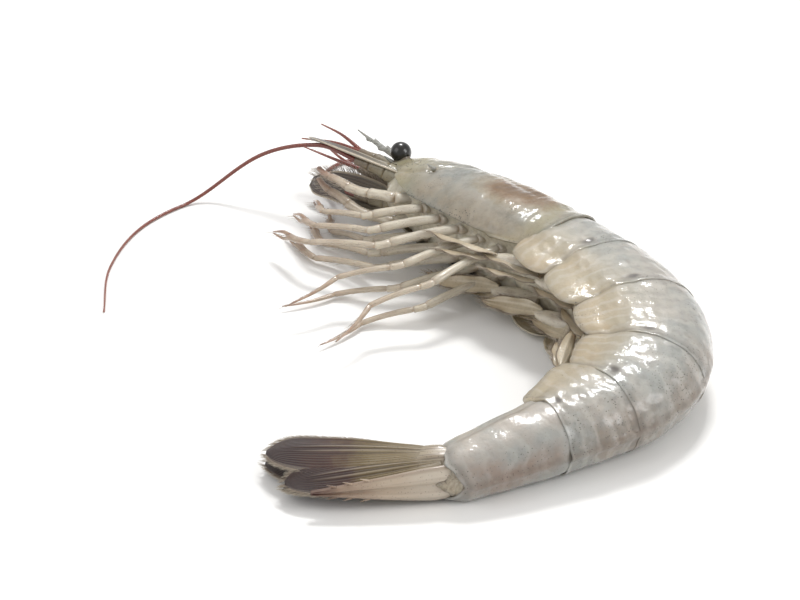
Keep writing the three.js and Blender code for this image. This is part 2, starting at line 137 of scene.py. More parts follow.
def ripple(points, size, seed, waves=9):
    # smooth seeded bumps of about that size in mm, from -1 to 1
    draw = np.random.default_rng(seed)
    ways = draw.normal(size=(waves, 3))
    lengths = np.linalg.norm(ways, axis=1, keepdims=True)
    ways *= (2 * pi / size) * draw.uniform(0.7, 1.5, (waves, 1)) / lengths
    return np.clip(np.sin(points @ ways.T + draw.uniform(0, 2 * pi, waves)).mean(-1) * 2, -1, 1)


def bell(distance, width):
    return np.exp(-((distance / width) ** 2))


def rise(low, high, value):
    t = np.clip((value - low) / (high - low), 0, 1)
    return t * t * (3 - 2 * t)


def unit(vector):
    return vector / np.maximum(np.linalg.norm(vector, axis=-1, keepdims=True), 1e-9)


def roughen(points, at, *bumps):
    # as uneven as real skin: bumps of a height, size and seed. Then the floor presses it flat
    push = sum(height * ripple(points, size, seed) for height, size, seed in bumps)
    return pressFlat(points + unit(points - spineAt(at)[0]) * push[..., None])


def overSpine(at, angle, relief, *bumps):
    above, dorsal = skin(at, angle, relief)
    return roughen(place(at, 0, dorsal, above), at, *bumps)


# A part is points in mm, faces, and paint: numbers for each point that the materials read.

def lattice(points, closed=False, **paint):
    rows, columns = points.shape[:2]
    steps = columns if closed else columns - 1
    i, j = np.meshgrid(np.arange(rows - 1), np.arange(steps), indexing="ij")
    k = (j + 1) % columns
    faces = np.stack([i * columns + j, i * columns + k, (i + 1) * columns + k, (i + 1) * columns + j], -1)
    numbers = {key: np.broadcast_to(value, (rows, columns)).ravel() for key, value in paint.items()}
    return points.reshape(-1, 3), faces.reshape(-1, 4).tolist(), numbers


def loft(rings, **paint):
    points, faces, numbers = lattice(rings, closed=True, **paint)
    columns = rings.shape[1]
    faces.append(list(range(columns))[::-1])
    faces.append([len(points) - columns + j for j in range(columns)])
    corners = points[np.array([face[:3] for face in faces[:-2]])] - points.mean(0)
    if np.einsum("ij,ij->i", corners[:, 0], np.cross(corners[:, 1], corners[:, 2])).sum() < 0:
        faces = [face[::-1] for face in faces]
    return points, faces, numbers


def merged(parts):
    keys = sorted({key for part in parts for key in part[2]})
    start, faces = 0, []
    for points, own, _ in parts:
        faces += [[start + corner for corner in face] for face in own]
        start += len(points)
    paint = {}
    for key in keys:
        painted = [numbers.get(key, np.zeros(len(points))) for points, _, numbers in parts]
        paint[key] = np.concatenate(painted)
    return np.concatenate([part[0] for part in parts]), faces, paint


def makePiece(name, part, material, thickness=0):
    points, faces, paint = part
    mesh = bpy.data.meshes.new(name)
    mesh.from_pydata((points * mm).tolist(), [], faces)
    mesh.polygons.foreach_set("use_smooth", [True] * len(mesh.polygons))
    for key, numbers in paint.items():
        column = mesh.attributes.new(key, "FLOAT", "POINT")
        column.data.foreach_set("value", np.asarray(numbers, np.float32))
    mesh.materials.append(material)
    piece = bpy.data.objects.new(name, mesh)
    bpy.context.scene.collection.objects.link(piece)
    if thickness:
        shell = piece.modifiers.new("shell", "SOLIDIFY")
        shell.thickness = thickness * mm
        shell.offset = -1
    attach(piece, "root")
    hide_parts("prawn")


def ringsRound(points, radii, sides, flat=1.0):
    # rings across the path, whose direction across is carried along without twisting
    along = unit(np.gradient(points, axis=0))
    start = np.cross(along[0], up)
    across = [unit(start if np.linalg.norm(start) > 0.1 else np.cross(along[0], (1.0, 0, 0)))]
    for way in along[1:]:
        across.append(unit(across[-1] - way * (across[-1] @ way)))
    across = np.array(across)
    square = np.cross(along, across)
    turn = np.linspace(0, 2 * pi, sides, endpoint=False)[:, None]
    radii = np.broadcast_to(radii, (len(points),))[:, None, None]
    out = across[:, None] * np.cos(turn) + square[:, None] * np.sin(turn) * flat
    return points[:, None] + out * radii


def throughPoints(points, count):
    points = np.asarray(points, float)
    gaps = np.linalg.norm(np.diff(points, axis=0), axis=1)
    stops = np.concatenate([[0], np.cumsum(gaps)])
    here = np.linspace(0, stops[-1], count)
    return np.stack([curveThrough(stops, points[:, axis], here) for axis in range(3)], -1)


def limbPart(points, radii, sides, flat, along, joint):
    around = np.cos(np.linspace(0, 2 * pi, sides, endpoint=False))[None, :]
    along, joint = (np.broadcast_to(value, len(points))[:, None] for value in (along, joint))
    return loft(ringsRound(points, radii, sides, flat), alongLimb=along, joint=joint, roundLimb=around)


def tube(points, radii, count, sides, flat=1.0, along=(0, 1)):
    # a limb without joints, with radii spread evenly over its length
    share = np.linspace(0, 1, count)
    radius = curveThrough(np.linspace(0, 1, len(radii)), radii, share)
    painted = along[0] + (along[1] - along[0]) * share
    return limbPart(throughPoints(points, count), radius, sides, flat, painted, 0)


hair = {
    "shares": (-0.06, 0.45, 1.0), "widths": (1.0, 0.75, 0.25),  # three rings from the root to the tip
    "lengths": (0.75, 1.1), "stray": 0.09, "bend": 0.07, "lowest": 0.05,
}


def hairs(roots, ways, lengths, radius, seed):
    # tapered bristles of three sides and three rings, a little uneven
    draw = np.random.default_rng(seed)
    count = len(roots)
    lengths = np.broadcast_to(lengths, (count,)) * draw.uniform(*hair["lengths"], count)
    ways = unit(ways + draw.normal(scale=hair["stray"], size=(count, 3)))
    side = unit(np.cross(ways, draw.normal(size=(count, 3))))
    square = np.cross(ways, side)
    shares, widths = np.array(hair["shares"]), np.array(hair["widths"])
    bent = unit(side + square * draw.normal(size=(count, 1)))
    middle = roots[:, None] + ways[:, None] * (shares * lengths[:, None])[..., None]
    middle += bent[:, None] * (shares ** 2 * lengths[:, None] * hair["bend"])[..., None]
    turn = np.linspace(0, 2 * pi, 3, endpoint=False)[:, None]
    out = side[:, None, None] * np.cos(turn) + square[:, None, None] * np.sin(turn)
    points = middle[:, :, None] + out * (radius * widths)[None, :, None, None]
    points[..., 2] = np.maximum(points[..., 2], hair["lowest"])
    onward = [(r * 3 + j, r * 3 + (j + 1) % 3) for r in (0, 1) for j in range(3)]
    sides = [(a, b, b + 3, a + 3) for a, b in onward]
    offsets = np.arange(count)[:, None, None] * 9
    faces = (np.array(sides)[None] + offsets).reshape(-1, 4).tolist()
    faces += (np.array([(2, 1, 0), (6, 7, 8)])[None] + offsets).reshape(-1, 3).tolist()
    alongHair = np.broadcast_to(np.clip(shares, 0, 1)[None, :, None], (count, 3, 3)).ravel()
    return points.reshape(-1, 3), faces, {"alongHair": alongHair}


print("helpers ready")


def linear(hexColour):
    values = [int(hexColour[i:i + 2], 16) / 255 for i in (1, 3, 5)]
    return [v / 12.92 if v <= 0.04045 else ((v + 0.055) / 1.055) ** 2.4 for v in values] + [1.0]


def addNode(tree, kind, settings=None, links=None):
    # settings and links go by the name or number of an input. A colour is a hex value, stops fill a ramp,
    # and a span is what a map range reads from and maps to
    node = tree.nodes.new("ShaderNode" + kind)
    settings = dict(settings or {})
    if kind == "Mix":
        node.data_type = "RGBA"
    for i, (position, colour) in enumerate(settings.pop("stops", ())):
        ramp = node.color_ramp.elements
        stop = ramp[i] if i < 2 else ramp.new(position)
        stop.position = position
        stop.color = linear(colour)
    settings.update(zip(("From Min", "From Max", "To Min", "To Max"), settings.pop("span", ())))
    for key, value in settings.items():
        if isinstance(value, str) and value.startswith("#"):
            value = linear(value)
        if isinstance(key, int) or key in node.inputs:
            node.inputs[key].default_value = value
        else:
            setattr(node, key, value)
    for key, source in (links or {}).items():
        if isinstance(source, tuple):
            output = source[0].outputs[source[1]]
        else:
            output = next(socket for socket in source.outputs if socket.enabled)
        tree.links.new(output, node.inputs[key])
    return node


def newMaterial(name, *paint):
    # an empty material, the way to add nodes to it, the place on the object, and the paint that it reads
    material = bpy.data.materials.new(name)
    material.use_nodes = True
    material.node_tree.nodes.clear()
    add = partial(addNode, material.node_tree)
    here = (add("TexCoord"), "Object")
    return material, add, here, *((add("Attribute", {"attribute_name": key}), "Fac") for key in paint)


def finishMaterial(add, settings, links):
    # the wet film is the clear coat: water has an IOR of 1.33
    surface = add("BsdfPrincipled", {"subsurface_method": "BURLEY", "Coat IOR": 1.33, **settings}, links)
    add("OutputMaterial", links={"Surface": surface})


def perMetre(sizeMm):
    return 1000 / sizeMm


def wetShell(name, look):
    # raw prawn shell: clear chitin over pale muscle, wet, so the eye sees soft grey-green depth under a
    # sharp gloss, brown pigment cells of 0.2 to 0.5 mm and a darker band along the rear edge of each plate
    material, add, here, roundBody, alongBody, toRim, stain, yolk = newMaterial(
        name, "roundBody", "alongBody", "toRim", "stain", "yolk")
    cloud = add("TexNoise", {"Scale": perMetre(8), "Detail": 4, "Roughness": 0.6}, {"Vector": here})
    smoke = add("TexNoise", {"Scale": perMetre(2.6), "Detail": 5, "Roughness": 0.68}, {"Vector": here})

    # back to belly, with the border shaken by the clouds
    shaken = add("Math", {"operation": "MULTIPLY_ADD", 1: 60}, {0: cloud, 2: roundBody})
    turned = add("Math", {"operation": "MULTIPLY_ADD", 1: 1 / 180, 2: -30 / 180}, {0: shaken})
    colour = add("ValToRGB", {"stops": look["backToBelly"]}, {"Fac": turned})

    # bluish clouds in the flesh, and brown smoke that is thicker towards the back
    cloudShare = add("MapRange", {"span": (0.42, 0.62, 0, look["cloudShare"])}, {"Value": cloud})
    towardsBack = add("MapRange", {"span": (100, 20, 0.45, 1.2)}, {"Value": roundBody})
    smokeDepth = add("MapRange", {"span": (0.46, 0.7, 0, look["smokeShare"])}, {"Value": smoke})
    smokeShare = add("Math", {"operation": "MULTIPLY"}, {0: smokeDepth, 1: towardsBack})

    # yellow fat and roe under the shell, where it was painted
    yolkPatches = add("MapRange", {"span": (0.36, 0.6, 0.45, 1.1)}, {"Value": cloud})
    yolkShare = add("Math", {"operation": "MULTIPLY", "use_clamp": True}, {0: yolkPatches, 1: yolk})

    # muscle fibres show as faint pale bands, about 3 mm apart
    phase = add("Math", {"operation": "MULTIPLY_ADD", 1: 9.0}, {0: cloud, 2: alongBody})
    turns = add("Math", {"operation": "MULTIPLY", 1: 2 * pi / look["bandMm"]}, {0: phase})
    wave = add("Math", {"operation": "SINE"}, {0: turns})
    bandShare = add("MapRange", {"span": (0.1, 1, 0, look["bandShare"])}, {"Value": wave})

    # the gut shows through as a soft dark line under the middle of the back
    gutDepth = add("MapRange", {"span": (10, 2, 0, look["gutShare"])}, {"Value": roundBody})
    gutBreaks = add("MapRange", {"span": (0.35, 0.55, 0.35, 1)}, {"Value": smoke})
    gutShare = add("Math", {"operation": "MULTIPLY"}, {0: gutDepth, 1: gutBreaks})

    layers = {
        "cloud": cloudShare, "smoke": smokeShare, "yolk": yolkShare, "band": bandShare, "gut": gutShare,
    }
    for key, share in layers.items():
        colour = add("Mix", {7: look[key]}, {0: share, 6: colour})

    # stains where they were painted: the liver's shadow, the dark pins of the joints
    ragged = look["stainRagged"]
    cloudShift = add("Math", {"operation": "MULTIPLY_ADD", 1: 1.5, 2: -0.75}, {0: cloud})
    smokeShift = add("Math", {"operation": "MULTIPLY_ADD", 1: 0.9}, {0: smoke, 2: cloudShift})
    torn = add("Math", {"operation": "MULTIPLY_ADD", 1: ragged, 2: -0.45 * ragged}, {0: smokeShift})
    stainDepth = add("Math", {"operation": "ADD"}, {0: torn, 1: stain})
    stainColour = add("ValToRGB", {"stops": look["stain"]}, {"Fac": stainDepth})
    stainFade = add("MapRange", {"span": (0.12, 0.7, 0, look["stainShare"])}, {"Value": stainDepth})
    stainHere = add("MapRange", {"span": (0.02, 0.25, 0, 1)}, {"Value": stain})
    stainShare = add("Math", {"operation": "MULTIPLY"}, {0: stainFade, 1: stainHere})
    colour = add("Mix", links={0: stainShare, 6: colour, 7: stainColour})

    # rear edge: a thin pale line, then a darker band that fades out over 3 mm
    rimShift = add("Math", {"operation": "MULTIPLY_ADD", 1: 0.3, 2: -0.15}, {0: smoke})
    rimPlace = add("Math", {"operation": "MULTIPLY_ADD", 1: 0.25}, {0: toRim, 2: rimShift})
    rimDepth = add("ValToRGB", {"stops": look["rimDepth"]}, {"Fac": rimPlace})
    rimShare = add("Math", {"operation": "MULTIPLY", 1: look["rimShare"]}, {0: rimDepth})
    colour = add("Mix", {7: look["rim"]}, {0: rimShare, 6: colour})

    # pigment cells of two sizes, crowded where a wide noise is high
    crowd = add("TexNoise", {"Scale": perMetre(11), "Detail": 3, "Roughness": 0.6}, {"Vector": here})
    crowdBack = add("Math", {"operation": "MULTIPLY_ADD", 1: 0.16, 2: -0.08}, {0: towardsBack})
    crowdRim = add("Math", {"operation": "MULTIPLY_ADD", 1: 0.12}, {0: rimDepth, 2: crowdBack})
    crowded = add("Math", {"operation": "ADD"}, {0: crowd, 1: crowdRim})
    wobble = (add("TexNoise", {"Scale": perMetre(0.4), "Detail": 2}, {"Vector": here}), "Color")
    wobbled = add("VectorMath", {"operation": "MULTIPLY_ADD", 1: (0.42 * mm,) * 3}, {0: wobble, 2: here})
    for size, reach, share in look["cells"]:
        cells = add("TexVoronoi", {"Scale": perMetre(size)}, {"Vector": wobbled})
        limit = add("MapRange", {"span": (0.36, 0.66, 0.03, reach * look["specks"])}, {"Value": crowded})
        depth = add("Math", {"operation": "SUBTRACT"}, {0: limit, 1: (cells, "Distance")})
        spot = add("MapRange", {"span": (0, 0.12, 0, share)}, {"Value": depth})
        colour = add("Mix", {7: look["speck"]}, {0: spot, 6: colour})

    # shallow pores, and a water film that lies unevenly so that highlights break up
    pores = add("TexVoronoi", {"Scale": perMetre(0.6)}, {"Vector": here})
    poreBump = add("Bump", {"Strength": 0.3, "Distance": 0.05 * mm}, {"Height": (pores, "Distance")})
    film = add("TexNoise", {"Scale": perMetre(1.35), "Detail": 4, "Roughness": 0.6}, {"Vector": here})
    filmBump = add("Bump", {"Strength": 0.55, "Distance": 0.13 * mm}, {"Height": film, "Normal": poreBump})
    rough = add("MapRange", {"span": (0.3, 0.7, 0.3, 0.5)}, {"Value": smoke})
    finishMaterial(add, {
        "IOR": 1.42, "Subsurface Weight": 0.45, "Subsurface Radius": (1.0, 0.87, 0.68),
        "Subsurface Scale": 1.8 * mm, "Coat Weight": 1.0, "Coat Roughness": 0.05,
    }, {"Base Color": colour, "Roughness": rough, "Normal": filmBump, "Coat Normal": filmBump})
    return material


flankLook = {
    "backToBelly": [(0.0, "#82766a"), (0.1, "#91877c"), (0.2, "#9d968d"), (0.36, "#a8a39a"),
                    (0.54, "#aca699"), (0.7, "#aea08a")],
    "cloud": "#969995", "cloudShare": 0.75, "smoke": "#716f6a", "smokeShare": 0.55, "yolk": "#b5a178",
    "band": "#c5bfb6", "bandShare": 0.25, "bandMm": 3.1, "gut": "#6b5a4a", "gutShare": 0.4,
    "rim": "#65615a", "rimShare": 0.4,
    "rimDepth": [(0.0, "#202020"), (0.07, "#101010"), (0.17, "#ffffff"), (0.34, "#8c8c8c"),
                 (0.8, "#000000")],
    "stain": [(0.0, "#867e75"), (0.5, "#574e46"), (1.0, "#3b342e")], "stainShare": 0.8, "stainRagged": 0.3,
    "speck": "#3e3931", "specks": 1.0,
    "cells": [(0.55, 0.28, 0.7), (1.1, 0.15, 0.42)],  # spacing in mm, reach of the spots, their strength
}
headLook = {
    **flankLook,
    "backToBelly": [(0.0, "#757065"), (0.18, "#878379"), (0.38, "#97938a"), (0.58, "#9d968a"),
                    (0.72, "#9b907e")],
    "cloud": "#858a86", "smoke": "#55524a", "smokeShare": 0.8, "yolk": "#9d9168",
    "band": "#bcb5a5", "bandShare": 0.1, "gutShare": 0.0,
    "stain": [(0.0, "#9f925e"), (0.28, "#937b48"), (0.55, "#7d5d34"), (1.0, "#634728")], "stainShare": 0.9,
    "stainRagged": 0.6, "speck": "#2f2b23", "specks": 1.3,
}
tailLook = {
    **flankLook,
    "backToBelly": [(0.0, "#86766b"), (0.12, "#94867b"), (0.24, "#a39b92"), (0.45, "#b0a89e"),
                    (0.7, "#aa9f90")],
    "smokeShare": 0.34, "specks": 0.8, "bandShare": 0.14,
}
flankShell = wetShell("wetFlankShell", flankLook)
headShell = wetShell("wetHeadShell", headLook)
lastShell = wetShell("wetLastPlateShell", tailLook)


def rawFlesh(name, darkToPale):
    # raw prawn muscle and the soft skin of the joints: milky, moist and faintly fibrous
    material, add, here = newMaterial(name)
    fibre = add("TexNoise", {"Scale": perMetre(1.4), "Detail": 5, "Roughness": 0.7, "Distortion": 0.6},
                {"Vector": here})
    colour = add("ValToRGB", {"stops": darkToPale}, {"Fac": fibre})
    bump = add("Bump", {"Strength": 0.5, "Distance": 0.15 * mm}, {"Height": fibre})
    finishMaterial(add, {
        "IOR": 1.38, "Roughness": 0.38, "Subsurface Weight": 0.5, "Subsurface Radius": (1.0, 0.75, 0.5),
        "Subsurface Scale": 2.0 * mm, "Coat Weight": 0.8, "Coat Roughness": 0.1,
    }, {"Base Color": colour, "Normal": bump, "Coat Normal": bump})
    return material


def bladeShell(name, look):
    # thin ribbed chitin of the tail fan and the scales: flat pigment deepens towards the tips,
    # and fine ribs run lengthways, about 0.5 mm apart
    material, add, here, alongBlade, acrossBlade, vein = newMaterial(
        name, "alongBlade", "acrossBlade", "vein")
    cloud = add("TexNoise", {"Scale": perMetre(4), "Detail": 5, "Roughness": 0.65}, {"Vector": here})
    shaken = add("Math", {"operation": "MULTIPLY_ADD", 1: 0.36, 2: -0.18}, {0: cloud})
    drift = add("Math", {"operation": "ADD"}, {0: shaken, 1: alongBlade})
    colour = add("ValToRGB", {"stops": look["rootToTip"]}, {"Fac": drift})
    ribPhase = add("Math", {"operation": "MULTIPLY", 1: look["ribs"] * pi}, {0: acrossBlade})
    ribs = add("Math", {"operation": "SINE"}, {0: ribPhase})
    ribShare = add("MapRange", {"span": (0.3, 1, 0, look["ribShare"])}, {"Value": ribs})
    wide = add("Math", {"operation": "ABSOLUTE"}, {0: acrossBlade})
    edgeShare = add("MapRange", {"span": (0.86, 0.97, 0, look["edgeShare"])}, {"Value": wide})

    # stiff ridges are paler than the web, with dark pigment along both sides
    ridgeShare = add("MapRange", {"span": (0.15, 0.9, 0, 0.6)}, {"Value": vein})
    besideShare = add("MapRange", {"span": (-0.1, -0.8, 0, 0.55)}, {"Value": vein})
    cells = add("TexVoronoi", {"Scale": perMetre(0.5)}, {"Vector": here})
    spots = add("MapRange", {"span": (0.24, 0.08, 0, look["specks"])}, {"Value": (cells, "Distance")})
    layers = [
        ("rib", ribShare), ("edge", edgeShare), ("edge", ridgeShare),
        ("speck", besideShare), ("speck", spots),
    ]
    for key, share in layers:
        colour = add("Mix", {7: look[key]}, {0: share, 6: colour})
    height = add("Math", {"operation": "MULTIPLY_ADD", 1: 0.5}, {0: ribs, 2: cloud})
    bump = add("Bump", {"Strength": 0.6, "Distance": 0.09 * mm}, {"Height": height})
    finishMaterial(add, {
        "IOR": 1.45, "Roughness": 0.36, "Subsurface Weight": 0.2, "Subsurface Radius": (1.0, 0.7, 0.5),
        "Subsurface Scale": 0.6 * mm, "Coat Weight": 0.65, "Coat Roughness": 0.12,
    }, {"Base Color": colour, "Normal": bump, "Coat Normal": bump})
    return material


fanShell = bladeShell("pigmentedFanShell", {
    "rootToTip": [(0.0, "#a09480"), (0.2, "#86775b"), (0.44, "#6c5c3c"), (0.6, "#41251c"),
                  (0.85, "#270f11")],
    "ribs": 17, "rib": "#54452f", "ribShare": 0.4, "edge": "#a99e8d", "edgeShare": 0.3,
    "speck": "#2a1e19", "specks": 0.45,
})
telsonShell = bladeShell("paleTelsonShell", {
    "rootToTip": [(0.0, "#c0b5a5"), (0.4, "#b6a591"), (0.75, "#907967"), (0.95, "#523932")],
    "ribs": 5, "rib": "#968374", "ribShare": 0.3, "edge": "#725b4a", "edgeShare": 0.5,
    "speck": "#483730", "specks": 0.5,
})
scuteShell = bladeShell("paleScuteShell", {
    "rootToTip": [(0.0, "#afa393"), (0.6, "#a29580"), (1.0, "#817159")],
    "ribs": 3, "rib": "#918373", "ribShare": 0.2, "edge": "#796a57", "edgeShare": 0.5,
    "speck": "#43372d", "specks": 0.6,
})
scaleShell = bladeShell("darkScaleShell", {
    "rootToTip": [(0.0, "#8c826c"), (0.3, "#696150"), (0.6, "#4f453c"), (0.9, "#3d312d")],
    "ribs": 13, "rib": "#82765f", "ribShare": 0.3, "edge": "#c8bca8", "edgeShare": 0.8,
    "speck": "#29241d", "specks": 0.6,
})
swimmerShell = bladeShell("paleSwimmerShell", {
    "rootToTip": [(0.0, "#c3b7a0"), (0.5, "#bdb098"), (0.85, "#a8997f"), (1.0, "#8c7b66")],
    "ribs": 3, "rib": "#a0937c", "ribShare": 0.3, "edge": "#5c4b3c", "edgeShare": 0.8,
    "speck": "#4d4035", "specks": 0.4,
})


def limbShell(name, look):
    # thin jointed chitin, nearly clear over pale flesh: beige in the light, browner at the joints and tips
    material, add, here, alongLimb, joint, roundLimb = newMaterial(name, "alongLimb", "joint", "roundLimb")
    cloud = add("TexNoise", {"Scale": perMetre(2.2), "Detail": 4, "Roughness": 0.6}, {"Vector": here})
    shaken = add("Math", {"operation": "MULTIPLY_ADD", 1: 0.5, 2: -0.25}, {0: cloud})
    drift = add("Math", {"operation": "ADD"}, {0: shaken, 1: alongLimb})
    colour = add("ValToRGB", {"stops": look["rootToTip"]}, {"Fac": drift})

    # fibres of flesh and threads of pigment run lengthways under the clear skin, about 4 mm long on a leg
    onward = add("Math", {"operation": "MULTIPLY", 1: look["fibresAlong"]}, {0: alongLimb})
    lengthways = add("CombineXYZ", links={"X": onward, "Y": roundLimb, "Z": cloud})
    fibre = add("TexNoise", {"Scale": 2.6, "Detail": 4, "Roughness": 0.6}, {"Vector": lengthways})
    fibreShare = add("MapRange", {"span": (0.46, 0.66, 0, look["fibreShare"])}, {"Value": fibre})
    jointShare = add("Math", {"operation": "MULTIPLY", 1: look["jointShare"]}, {0: joint})
    cells = add("TexVoronoi", {"Scale": perMetre(0.6)}, {"Vector": here})
    spots = add("MapRange", {"span": (0.2, 0.06, 0, look["specks"])}, {"Value": (cells, "Distance")})
    for key, share in {"fibre": fibreShare, "joint": jointShare, "speck": spots}.items():
        colour = add("Mix", {7: look[key]}, {0: share, 6: colour})
    bump = add("Bump", {"Strength": 0.4, "Distance": 0.08 * mm}, {"Height": cloud})
    finishMaterial(add, {
        "IOR": 1.42, "Roughness": 0.34, "Subsurface Weight": 0.5, "Subsurface Radius": (1.0, 0.8, 0.55),
        "Subsurface Scale": 1.0 * mm, "Coat Weight": 0.8, "Coat Roughness": 0.1,
    }, {"Base Color": colour, "Normal": bump, "Coat Normal": bump})
    return material


legShell = limbShell("clearLegShell", {
    "rootToTip": [(0.0, "#c2bbac"), (0.35, "#c9c0ae"), (0.7, "#b9aa98"), (1.0, "#937565")],
    "fibre": "#94826f", "fibreShare": 0.6, "fibresAlong": 3.0,
    "joint": "#8f7d6c", "jointShare": 0.4, "speck": "#5f4b3d", "specks": 0.5,
})
stemShell = limbShell("speckledStemShell", {
    "rootToTip": [(0.0, "#9c957f"), (0.5, "#8b826c"), (1.0, "#746453")],
    "fibre": "#6f6654", "fibreShare": 0.5, "fibresAlong": 3.0,
    "joint": "#55483c", "jointShare": 0.5, "speck": "#38302a", "specks": 0.75,
})
feelerShell = limbShell("redBrownFeelerShell", {
    "rootToTip": [(0.0, "#76392f"), (0.4, "#6a322b"), (1.0, "#824c3e")],
    "fibre": "#8d5a4b", "fibreShare": 0.3, "fibresAlong": 12.0,
    "joint": "#8a5546", "jointShare": 0.3, "speck": "#431b17", "specks": 0.2,
})


def softBristle():
    # bristles of clear chitin that hold water: grey-brown, paler at the tips
    material, add, _, alongHair = newMaterial("softBristle", "alongHair")
    rootToTip = [(0.0, "#857466"), (0.6, "#a39584"), (1.0, "#c3b9a8")]
    colour = add("ValToRGB", {"stops": rootToTip}, {"Fac": alongHair})
    finishMaterial(add, {"IOR": 1.5, "Roughness": 0.45, "Coat Weight": 0.3, "Coat Roughness": 0.2},
                   {"Base Color": colour})
    return material


def darkCornea():
    # black compound eye under a clear wet cornea: near black, with fine facets that soften the gloss.
    # Real ones are under 0.1 mm, so they are drawn at 0.16 mm to show
    material, add, here = newMaterial("darkCornea")
    facets = add("TexVoronoi", {"Scale": perMetre(0.16), "Randomness": 0.3}, {"Vector": here})
    cloud = add("TexNoise", {"Scale": perMetre(1.5), "Detail": 3}, {"Vector": here})
    darkToPale = [(0.35, "#0b0a0a"), (0.6, "#1d1a17"), (0.8, "#3a332b")]
    colour = add("ValToRGB", {"stops": darkToPale}, {"Fac": cloud})
    bump = add("Bump", {"Strength": 0.2, "Distance": 0.02 * mm}, {"Height": (facets, "Distance")})
    finishMaterial(add, {"IOR": 1.45, "Roughness": 0.3, "Coat Weight": 1.0, "Coat Roughness": 0.03},
                   {"Base Color": colour, "Normal": bump})
    return material


flesh = rawFlesh("rawFlesh", [(0.25, "#a39a86"), (0.5, "#c7bfab"), (0.75, "#d9d3c4")])
jointSkin = rawFlesh("foldedJointSkin", [(0.3, "#62574a"), (0.46, "#978b79"), (0.7, "#b8ad99")])
bristle = softBristle()
cornea = darkCornea()
print("materials ready")

headShield = {
    "rows": 170, "columns": 190, "halfAngle": 148, "thickness": 0.4, "mmPerDegree": 0.155,
    # edges: how far along the spine they are, by degrees from the back
    "front": [(0, -3.4), (16, -3.2), (34, -2.0), (52, 0.2), (68, 1.0), (82, -0.6), (93, -3.2), (101, -0.6),
              (112, 0.8), (126, 2.0), (138, 4.6), (148, 9.0)],
    "rear": [(0, 39.0), (40, 39.6), (80, 40.6), (115, 41.2), (132, 40.2), (142, 37.6), (148, 33.0)],
    # grooves of the neck, the liver and the gills: corners of at and degrees, then depth and half width
    "grooves": [
        ([(18.5, 24), (15.5, 48), (11.5, 78), (9.0, 98)], 0.5, 1.0),
        ([(9.0, 100), (5.5, 112), (1.5, 120)], 0.4, 0.8),
        ([(16.5, 58), (24, 66), (31, 73)], 0.22, 0.9),
    ],
    # ridges along the back: height, degrees from the back, half width, and where along the spine they fade
    "ridges": [(0.7, 0, 6, (14, 30)), (-0.35, 15, 6, (14, 22))],
    # rolls along the rear edge: height, distance from the edge, half width
    "rolls": [(0.25, 0, 1.6), (-0.12, 3.2, 1.4)],
    "sideRoll": (0.18, 0.7),
    "gills": {"height": 0.35, "at": 24, "long": 10, "angle": 105, "wide": 26},
    "liver": {"height": 1, "at": 27.5, "long": 7.5, "angle": 76, "wide": 30},  # a stain
    "roe": {"share": 0.6, "headEnd": (3, 13), "rearAt": 2.6, "rearWide": 2.6, "fromAngle": (35, 60)},
}


def distanceToLine(at, angle, line):
    # distance in mm over the skin from a line of (at, angle) corners
    scale = headShield["mmPerDegree"]
    here = np.stack(np.broadcast_arrays(at, angle * scale), -1)
    corners = np.array(line, float) * (1, scale)
    best = np.full(here.shape[:-1], 1e3)
    for a, b in zip(corners[:-1], corners[1:]):
        t = np.clip(((here - a) @ (b - a)) / ((b - a) @ (b - a)), 0, 1)
        best = np.minimum(best, np.linalg.norm(here - a - t[..., None] * (b - a), axis=-1))
    return best


def mound(at, angle, form):
    lengthways = bell(at - form["at"], form["long"])
    return form["height"] * lengthways * bell(angle - form["angle"], form["wide"])


def makeHeadShield():
    look = headShield
    angle = np.linspace(-look["halfAngle"], look["halfAngle"], look["columns"])[None, :]
    off = np.abs(angle)
    share = np.linspace(0, 1, look["rows"])[:, None]
    front, rear = (curveThrough(*zip(*look[edge]), off) for edge in ("front", "rear"))
    at = front + (rear - front) * share
    off = np.broadcast_to(off, at.shape)
    fromSide = (look["halfAngle"] - off) * look["mmPerDegree"]
    relief = 0
    for height, middle, wide, fades in look["ridges"]:
        relief = relief + height * bell(off - middle, wide) * (1 - rise(*fades, at))
    for line, depth, wide in look["grooves"]:
        relief -= depth * bell(distanceToLine(at, off, line), wide)
    relief += mound(at, off, look["gills"])
    relief += sum(height * bell(rear - at - middle, wide) for height, middle, wide in look["rolls"])
    relief += look["sideRoll"][0] * bell(fromSide, look["sideRoll"][1])
    points = overSpine(at, angle, relief, (0.12, 6, 3), (0.05, 2.1, 4))
    toRim = np.minimum(rear - at, fromSide + 0.6)
    roe = look["roe"]
    atRear = bell(rear - at - roe["rearAt"], roe["rearWide"])
    yolk = roe["share"] * (1 - rise(*roe["headEnd"], at))
    yolk = yolk + roe["share"] * atRear * rise(*roe["fromAngle"], off)
    stain = mound(at, off, look["liver"])
    return lattice(points, alongBody=at, roundBody=off, toRim=toRim, stain=stain, yolk=yolk)


